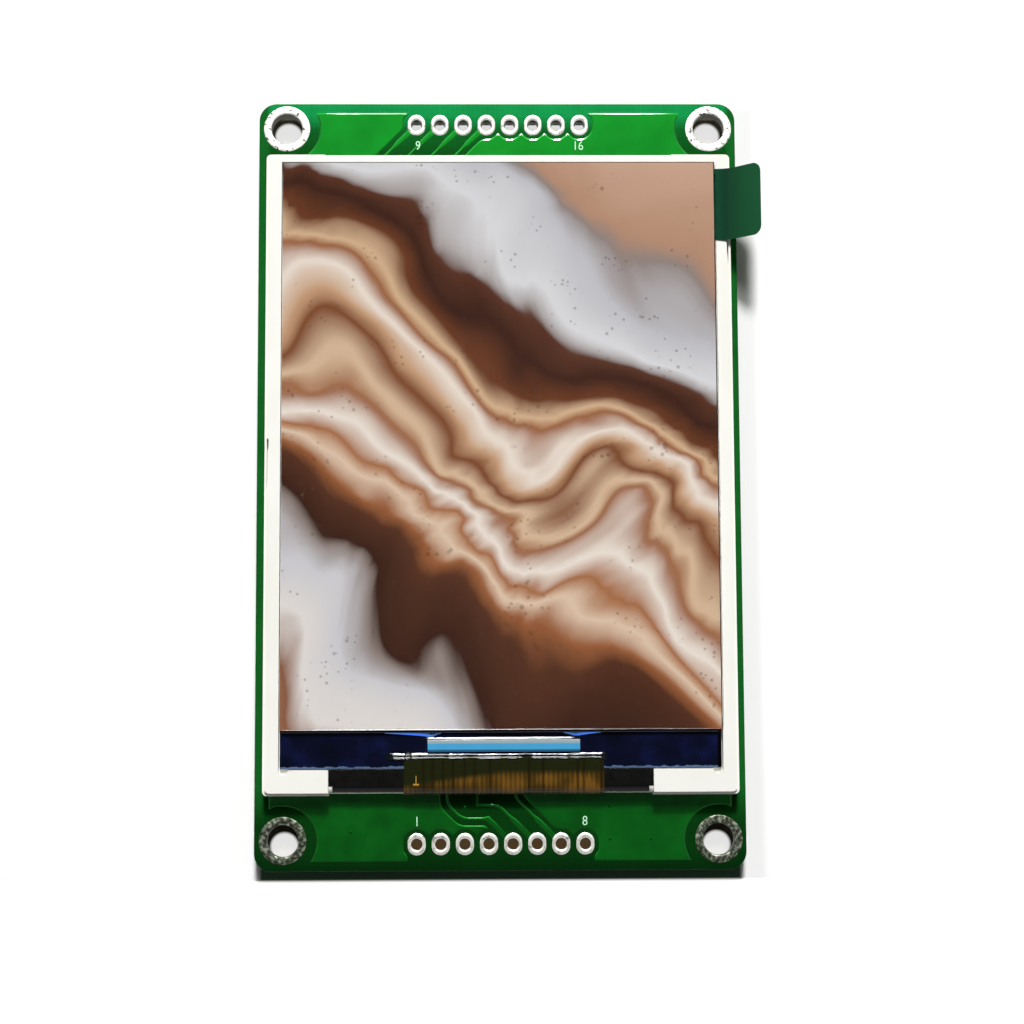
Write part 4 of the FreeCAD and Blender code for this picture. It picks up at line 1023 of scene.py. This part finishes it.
# Flex circuit
# Copper tracks between two polyimide films, bonded on the ledge, folded round the frame's bar and soldered
# to the board below. Olive where stiffened near the ledge, amber where the tracks show through.
flex_thickness = 0.12
fold_radius = 0.885
fold_centre_y = flex_low.y + fold_radius + flex_thickness / 2
tail_radius = 1.2
tail_drop = 0.32
tail_turn = math.acos(1 - tail_drop / (2 * tail_radius))
tail_run = 2 * tail_radius * math.sin(tail_turn)
tail_low_run = 2.8
under_run = flex_high.y - tail_low_run - tail_run - fold_centre_y
flex_moves = [
    (0, flex_bond_y - fold_centre_y),
    (fold_radius, -180.0),
    (0, under_run),
    (tail_radius, math.degrees(tail_turn)),
    (tail_radius, -math.degrees(tail_turn)),
    (0, tail_low_run),
]
flex_cut = 0.4
flex_track_pitch = 0.5
olive_from = (-31.9, -31.1)
olive_slant = 0.14
upper_run_from = (3.2, 3.4)
mark_thickness = 0.016
separators = [-8.13, -7.19, -6.09, -5.04, -3.82, -2.77, -1.17, 2.92, 4.39, 8.05, 8.68, 10.55]

# Polyimide over copper: amber, glossy and faintly striped, with dark gaps between the tracks and an olive end
film_brown, tree, shader, place = start_material("polyimide_over_copper", Specular_IOR_Level=0.2)
roughen(tree, shader, place, 0.6, 0.16, 0.24, 0.002)
at = add(tree, "ShaderNodeSeparateXYZ", {0: place}).outputs
tracks = {"Vector": place, "Scale": band_scale(flex_track_pitch), "Distortion": 0.6, "Detail": 1.0}
track = add(tree, "ShaderNodeTexWave", tracks).outputs["Fac"]
broad = add(tree, "ShaderNodeTexNoise", {"Vector": place, "Scale": 0.35, "Detail": 1.0}).outputs[0]
amber_part = add(tree, "ShaderNodeMath", {0: track, 1: 0.12, 2: broad}, operation="MULTIPLY_ADD").outputs[0]
amber_stops = [(0.4, "#38290C"), (0.56, "#493511"), (0.72, "#6E4D1B")]
amber = add(tree, "ShaderNodeValToRGB", {0: amber_part}, amber_stops).outputs[0]
left_side = add(tree, "ShaderNodeMath", {0: at[0], 1: 0.0}, operation="MINIMUM").outputs[0]
slant = {0: left_side, 1: -olive_slant, 2: at[1]}
level = add(tree, "ShaderNodeMath", slant, operation="MULTIPLY_ADD").outputs[0]
olive_part = {"Value": level, "From Min": olive_from[0], "From Max": olive_from[1]}
olive_share = add(tree, "ShaderNodeMapRange", olive_part, interpolation_type="SMOOTHSTEP").outputs[0]
high_part = {"Value": at[2], "From Min": upper_run_from[0], "From Max": upper_run_from[1]}
high_share = add(tree, "ShaderNodeMapRange", high_part).outputs[0]
share = add(tree, "ShaderNodeMath", {0: olive_share, 1: high_share}, operation="MULTIPLY").outputs[0]
two_tone = {0: share, 6: amber, 7: linear("#1E220D")}
flex_tone = add(tree, "ShaderNodeMix", two_tone, data_type="RGBA").outputs[2]
for x in separators:
    away = add(tree, "ShaderNodeMath", {0: at[0], 1: x}, operation="SUBTRACT").outputs[0]
    near = add(tree, "ShaderNodeMath", {0: away}, operation="ABSOLUTE").outputs[0]
    dark = {"Value": near, "From Min": 0.04, "From Max": 0.22, "To Min": 0.7, "To Max": 0.0}
    darkness = add(tree, "ShaderNodeMapRange", dark).outputs[0]
    darker = {0: darkness, 6: flex_tone, 7: linear("#1C1406")}
    flex_tone = add(tree, "ShaderNodeMix", darker, data_type="RGBA").outputs[2]
tree.links.new(flex_tone, shader.inputs["Base Color"])
flex_length = course(flex_moves)[-1][0]
flex_outline = [
    (0, flex_low.x + flex_cut),
    (0, flex_high.x - flex_cut),
    (flex_cut, flex_high.x),
    (flex_length - flex_cut, flex_high.x),
    (flex_length, flex_high.x - flex_cut),
    (flex_length, flex_low.x + flex_cut),
    (flex_length - flex_cut, flex_low.x),
    (flex_cut, flex_low.x),
]
flex_start = (0, flex_bond_y, flex_high.z - flex_thickness / 2)
flex_mesh = laid("flex_circuit", flex_outline, flex_moves, flex_thickness, flex_start, (0, -1, 0), (1, 0, 0))
put("flex_circuit", flex_mesh, film_brown, "polyimide_flex", "flex_circuit")
gold = one_colour("bare_gilt_copper", "#E0A93A", 0.3, 0.25, 0.4, 0.002, Metallic=0.6)
mark_shape = bmesh.new()
mark_spots = ((-8.91, -32.2, 0.09, 0.85), (-8.91, -32.7, 0.62, 0.18))
for x, y, width, length in mark_spots:
    corner = bmesh.ops.create_cube(mark_shape, size=1.0)["verts"]
    bmesh.ops.scale(mark_shape, vec=(width, length, mark_thickness), verts=corner)
    bmesh.ops.translate(mark_shape, vec=(x, y, flex_high.z), verts=corner)
put("flex_mark", finished(mark_shape, "flex_mark"), gold, "polyimide_flex")
dress("led_strip", film_brown)

# Flex solder joints
# Small fillets of solder between the flex's fingers and the board's lands.
dress("flex_solder_joints", one_colour("tin_silver_solder", "#C9CACA", 0.3, 0.2, 0.4, 0.01, Metallic=1.0))

# Shade tape
# Black tape over the frame's bar on both sides of the flex. It keeps the lamps' light in.
shade_low, shade_high = corners_of("shade_tape")
shade_thickness = 0.06
nose_centre_y = fold_centre_y + 0.03
nose_radius = 0.825
notch_length = 0.75
for number, (outer, inner, notch_width, wrap) in enumerate(
    (
        (shade_low.x, flex_low.x, 0.4, -54.0),
        (shade_high.x, flex_high.x, -0.45, -58.0),
    )
):
    shade_moves = [(0, shade_high.y - nose_centre_y), (nose_radius + shade_thickness / 2, wrap)]
    shade_length = course(shade_moves)[-1][0]
    notch = outer + notch_width
    shade_outline = [(0, outer), (0, inner), (shade_length, inner), (shade_length, notch)]
    shade_outline += [(shade_length - notch_length, notch), (shade_length - notch_length, outer)]
    shade_start = (0, shade_high.y, shade_high.z - shade_thickness / 2)
    name = "shade_tape_" + str(number + 1)
    shade_mesh = laid(name, shade_outline, shade_moves, shade_thickness, shade_start, (0, -1, 0), (1, 0, 0))
    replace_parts(put(name, shade_mesh, black, "black_tape"), "shade_tape")

# Rear parts
# Capacitors, resistors, a regulator and a transistor, soldered to the rear lands by hot air. Ceramic bodies
# have tinned ends; the moulded ones stand on bent tinned leads.
ceramic = one_colour("fired_ceramic", "#9E7A55", 0.3, 0.4, 0.55, 0.004)
glaze = one_colour("black_resistor_glaze", "#101012", 0.3, 0.25, 0.4, 0.004)
epoxy = one_colour("black_moulded_epoxy", "#141414", 0.08, 0.5, 0.68, 0.006)
for node, width, material, slot in (
    ("capacitor_bodies", 0.04, ceramic, "capacitor_ceramic"),
    ("resistor_bodies", 0.03, glaze, "resistor_body"),
    ("chip_terminals", 0.03, tin, "tin_plating"),
    ("regulator_body", 0.06, epoxy, "black_epoxy"),
    ("regulator_leads", 0.02, tin, "tin_plating"),
    ("transistor_body", 0.06, epoxy, "black_epoxy"),
    ("transistor_leads", 0.02, tin, "tin_plating"),
):
    put(node, softened(node, width), material, slot, node)

# Floor
# White paper under the module, just below its rear parts. The paper under the board is painted dark as a
# painted shadow, darker and greener in a band just below the lower edge. Painted glowing spots stand for
# light through the mounting holes and the upper pin holes, and a painted brown glow lies under the lower
# pins.
floor_height = -1.2
floor_reach = 3.0
fibre_height = 0.01
foot_shadow = 0.95
side_shadow = 1.9
near_glow = {"From Max": 0.8, "To Max": 0.12}
clear_glow = {"From Max": 0.3, "To Max": 0.95}
far_glow = {"From Min": 60.0, "From Max": 160.0, "To Max": 0.95}
mount_spot_y = 38.75
mount_spot_shift = -0.35
mount_spot = {"From Min": 1.3, "From Max": 1.6, "To Min": 0.75, "To Max": 0.0}
pin_strip = {"near": 38.9, "far": 39.72, "half": 9.8, "glow": 0.7}
brown_glow_strip = {"y": -38.95, "half": 0.75, "glow": 0.25}


def seen_directly(tree):
    """One where the camera, a mirror or something clear looks, and zero where light bounces."""
    rays = add(tree, "ShaderNodeLightPath").outputs
    seen = {0: rays["Is Camera Ray"], 1: rays["Is Glossy Ray"]}
    seen = add(tree, "ShaderNodeMath", seen, operation="MAXIMUM").outputs[0]
    seen = {0: seen, 1: rays["Is Transmission Ray"]}
    return add(tree, "ShaderNodeMath", seen, operation="MAXIMUM").outputs[0]


floor_white, tree, shader, place = start_material("white_paper", Roughness=0.9)
grain = add(tree, "ShaderNodeTexNoise", {"Vector": place, "Scale": 4.0, "Detail": 3.0}).outputs[0]
fibres = {"Height": grain, "Distance": fibre_height * millimetre, "Strength": 0.5}
tree.links.new(add(tree, "ShaderNodeBump", fibres).outputs[0], shader.inputs["Normal"])
at = add(tree, "ShaderNodeSeparateXYZ", {0: place}).outputs
sideways = add(tree, "ShaderNodeMath", {0: at[0]}, operation="ABSOLUTE").outputs[0]
right_side = add(tree, "ShaderNodeMath", {0: at[0], 1: 0.0}, operation="GREATER_THAN").outputs[0]
shaded_side = {0: right_side, 1: side_shadow, 2: board_high.x}
shaded_side = add(tree, "ShaderNodeMath", shaded_side, operation="MULTIPLY_ADD").outputs[0]
past_side = add(tree, "ShaderNodeMath", {0: sideways, 1: shaded_side}, operation="SUBTRACT").outputs[0]
past_upper = add(tree, "ShaderNodeMath", {0: at[1], 1: board_high.y}, operation="SUBTRACT").outputs[0]
away = add(tree, "ShaderNodeMath", {0: past_side, 1: past_upper}, operation="MAXIMUM").outputs[0]
# To the eye the paper glows white round the board and beyond a short band below its lower edge, which cuts
# the module's shadow short there
margin = add(tree, "ShaderNodeMapRange", {"Value": away, **near_glow}).outputs[0]
below = add(tree, "ShaderNodeMath", {0: board_low.y - foot_shadow, 1: at[1]}, operation="SUBTRACT").outputs[0]
clear_below = add(tree, "ShaderNodeMapRange", {"Value": below, **clear_glow}).outputs[0]
margin = add(tree, "ShaderNodeMath", {0: margin, 1: clear_below}, operation="MAXIMUM").outputs[0]
from_centre = add(tree, "ShaderNodeVectorMath", {0: place}, operation="LENGTH").outputs["Value"]
far_white = {"Value": from_centre, **far_glow}
far_white = add(tree, "ShaderNodeMapRange", far_white, interpolation_type="SMOOTHSTEP").outputs[0]
margin = add(tree, "ShaderNodeMath", {0: margin, 1: far_white}, operation="MAXIMUM").outputs[0]
# Painted shadow: the paper under the board's outline is painted dark
under_side = {"Value": sideways, "From Min": board_high.x - 0.5, "From Max": board_high.x - 0.2}
under_side = add(tree, "ShaderNodeMapRange", under_side).outputs[0]
under_upper = {"Value": at[1], "From Min": board_high.y - 0.4, "From Max": board_high.y - 0.1}
under_upper = add(tree, "ShaderNodeMapRange", under_upper).outputs[0]
under_lower = {"Value": below, "From Min": -0.1, "From Max": 0.1}
under_lower = add(tree, "ShaderNodeMapRange", under_lower).outputs[0]
outside = add(tree, "ShaderNodeMath", {0: under_side, 1: under_upper}, operation="MAXIMUM").outputs[0]
outside = add(tree, "ShaderNodeMath", {0: outside, 1: under_lower}, operation="MAXIMUM").outputs[0]
# Painted contact shadow: darker and greener in a band just below the lower edge
at_edge = add(tree, "ShaderNodeMapRange", {"Value": at[1], "From Min": -41.2, "From Max": -40.6}).outputs[0]
painted_shadow_tone = {0: at_edge, 6: linear("#31503A"), 7: linear("#56503E")}
painted_shadow_tone = add(tree, "ShaderNodeMix", painted_shadow_tone, data_type="RGBA").outputs[2]
paper_mix = {0: outside, 6: painted_shadow_tone, 7: linear("#F5F5F5")}
paper_tone = add(tree, "ShaderNodeMix", paper_mix, data_type="RGBA").outputs[2]
tree.links.new(paper_tone, shader.inputs["Base Color"])
# Painted light: glowing spots below the mounting holes and a glowing strip below the upper pin row
end = add(tree, "ShaderNodeMath", {0: at[1]}, operation="SIGN").outputs[0]
hole_y = {0: end, 1: mount_spot_y, 2: mount_spot_shift}
hole_y = add(tree, "ShaderNodeMath", hole_y, operation="MULTIPLY_ADD").outputs[0]
from_y = add(tree, "ShaderNodeMath", {0: at[1], 1: hole_y}, operation="SUBTRACT").outputs[0]
from_x = add(tree, "ShaderNodeMath", {0: sideways, 1: mount_spacing_x / 2}, operation="SUBTRACT").outputs[0]
from_hole = add(tree, "ShaderNodeCombineXYZ", {0: from_x, 1: from_y}).outputs[0]
from_hole = add(tree, "ShaderNodeVectorMath", {0: from_hole}, operation="LENGTH").outputs["Value"]
painted_hole_glow = add(tree, "ShaderNodeMapRange", {"Value": from_hole, **mount_spot}).outputs[0]
strip = add(tree, "ShaderNodeMath", {0: at[1], 1: pin_strip["far"]}, operation="LESS_THAN").outputs[0]
before_row = {0: at[1], 1: pin_strip["near"]}
before_row = add(tree, "ShaderNodeMath", before_row, operation="GREATER_THAN").outputs[0]
among_pins = {0: sideways, 1: pin_strip["half"]}
among_pins = add(tree, "ShaderNodeMath", among_pins, operation="LESS_THAN").outputs[0]
for part in (before_row, among_pins, pin_strip["glow"]):
    strip = add(tree, "ShaderNodeMath", {0: strip, 1: part}, operation="MULTIPLY").outputs[0]
painted_light_spots = add(tree, "ShaderNodeMath", {0: painted_hole_glow, 1: strip}, operation="MAXIMUM").outputs[0]
# Painted brown glow below the lower pin row
low_row = {0: at[1], 1: brown_glow_strip["y"], 2: brown_glow_strip["half"]}
low_row = add(tree, "ShaderNodeMath", low_row, operation="COMPARE").outputs[0]
low_row = add(tree, "ShaderNodeMath", {0: low_row, 1: among_pins}, operation="MULTIPLY").outputs[0]
painted_brown_glow = {0: low_row, 1: brown_glow_strip["glow"]}
painted_brown_glow = add(tree, "ShaderNodeMath", painted_brown_glow, operation="MULTIPLY").outputs[0]
painted_light_spots = add(tree, "ShaderNodeMath", {0: painted_light_spots, 1: painted_brown_glow}, operation="MAXIMUM").outputs[0]
glow_tone = {0: low_row, 6: linear("#FFFFFF"), 7: linear("#8A6A45")}
glow_tone = add(tree, "ShaderNodeMix", glow_tone, data_type="RGBA").outputs[2]
tree.links.new(glow_tone, shader.inputs["Emission Color"])
glow = add(tree, "ShaderNodeMath", {0: painted_light_spots, 1: margin}, operation="MAXIMUM").outputs[0]
lift = add(tree, "ShaderNodeMath", {0: seen_directly(tree), 1: glow}, operation="MULTIPLY").outputs[0]
tree.links.new(lift, shader.inputs["Emission Strength"])
floor_mesh = bpy.data.meshes.new("paper")
floor_z = floor_height * millimetre
floor_corners = [(x * floor_reach, y * floor_reach, floor_z) for x, y in ((-1, -1), (1, -1), (1, 1), (-1, 1))]
floor_mesh.from_pydata(floor_corners, [], [(0, 1, 2, 3)])
floor_mesh.materials.append(floor_white)
floor = bpy.data.objects.new("paper", floor_mesh)
bpy.context.scene.collection.objects.link(floor)

# Light
# A white room all round with a dark patch straight above, where the camera stands. A large soft lamp stands
# behind the module's upper side, and a smaller one beside it draws the short shadows.
lamp_distance = 1.6
lamp_sideways = 0.01
soft_lamp = {"tilt": 30.0, "reach": 7.0, "power": 4.6}
key_lamp = {"tilt": 40.0, "reach": 4.3, "power": 25.0}
room_share = 0.17
bpy.context.scene.view_settings.view_transform = "Standard"
world = bpy.data.worlds.new("room")
world.use_nodes = True
bpy.context.scene.world = world
tree = world.node_tree
toward_sky = add(tree, "ShaderNodeTexCoord").outputs["Generated"]
height = add(tree, "ShaderNodeSeparateXYZ", {0: toward_sky}).outputs[2]
room_stops = [(0.0, "#FFFFFF"), (0.7, "#F4F5F7"), (0.86, "#6E6F72"), (0.96, "#2E2F31")]
room = add(tree, "ShaderNodeValToRGB", {0: height}, room_stops).outputs[0]
strength = {"Value": seen_directly(tree), "To Min": room_share, "To Max": 1.0}
background = tree.nodes["Background"]
tree.links.new(room, background.inputs["Color"])
tree.links.new(add(tree, "ShaderNodeMapRange", strength).outputs[0], background.inputs["Strength"])
for name, facts in (("soft_lamp", soft_lamp), ("key_lamp", key_lamp)):
    lamp = bpy.data.lights.new(name, "AREA")
    lamp.shape = "DISK"
    lamp.size = 2 * lamp_distance * math.tan(math.radians(facts["reach"]))
    lamp.energy = facts["power"]
    tilt = math.radians(facts["tilt"])
    lamp_way = Vector((lamp_sideways, math.sin(tilt), math.cos(tilt))).normalized()
    holder = bpy.data.objects.new(name, lamp)
    holder.location = lamp_way * lamp_distance
    holder.rotation_euler = (-lamp_way).to_track_quat("-Z", "Y").to_euler()
    bpy.context.scene.collection.objects.link(holder)

# Camera
# Looking straight down from above the lower edge, found from the photo's pin holes and mounting holes.
camera = bpy.data.cameras.new("camera")
camera.sensor_width = 36.0
camera.lens = 86.07
viewer = bpy.data.objects.new("camera", camera)
viewer.location = Vector((-3.420, -36.154, 261.886)) * millimetre
viewer.rotation_euler = (0.1242, -0.0176, -0.0051)
bpy.context.scene.collection.objects.link(viewer)
bpy.context.scene.camera = viewer
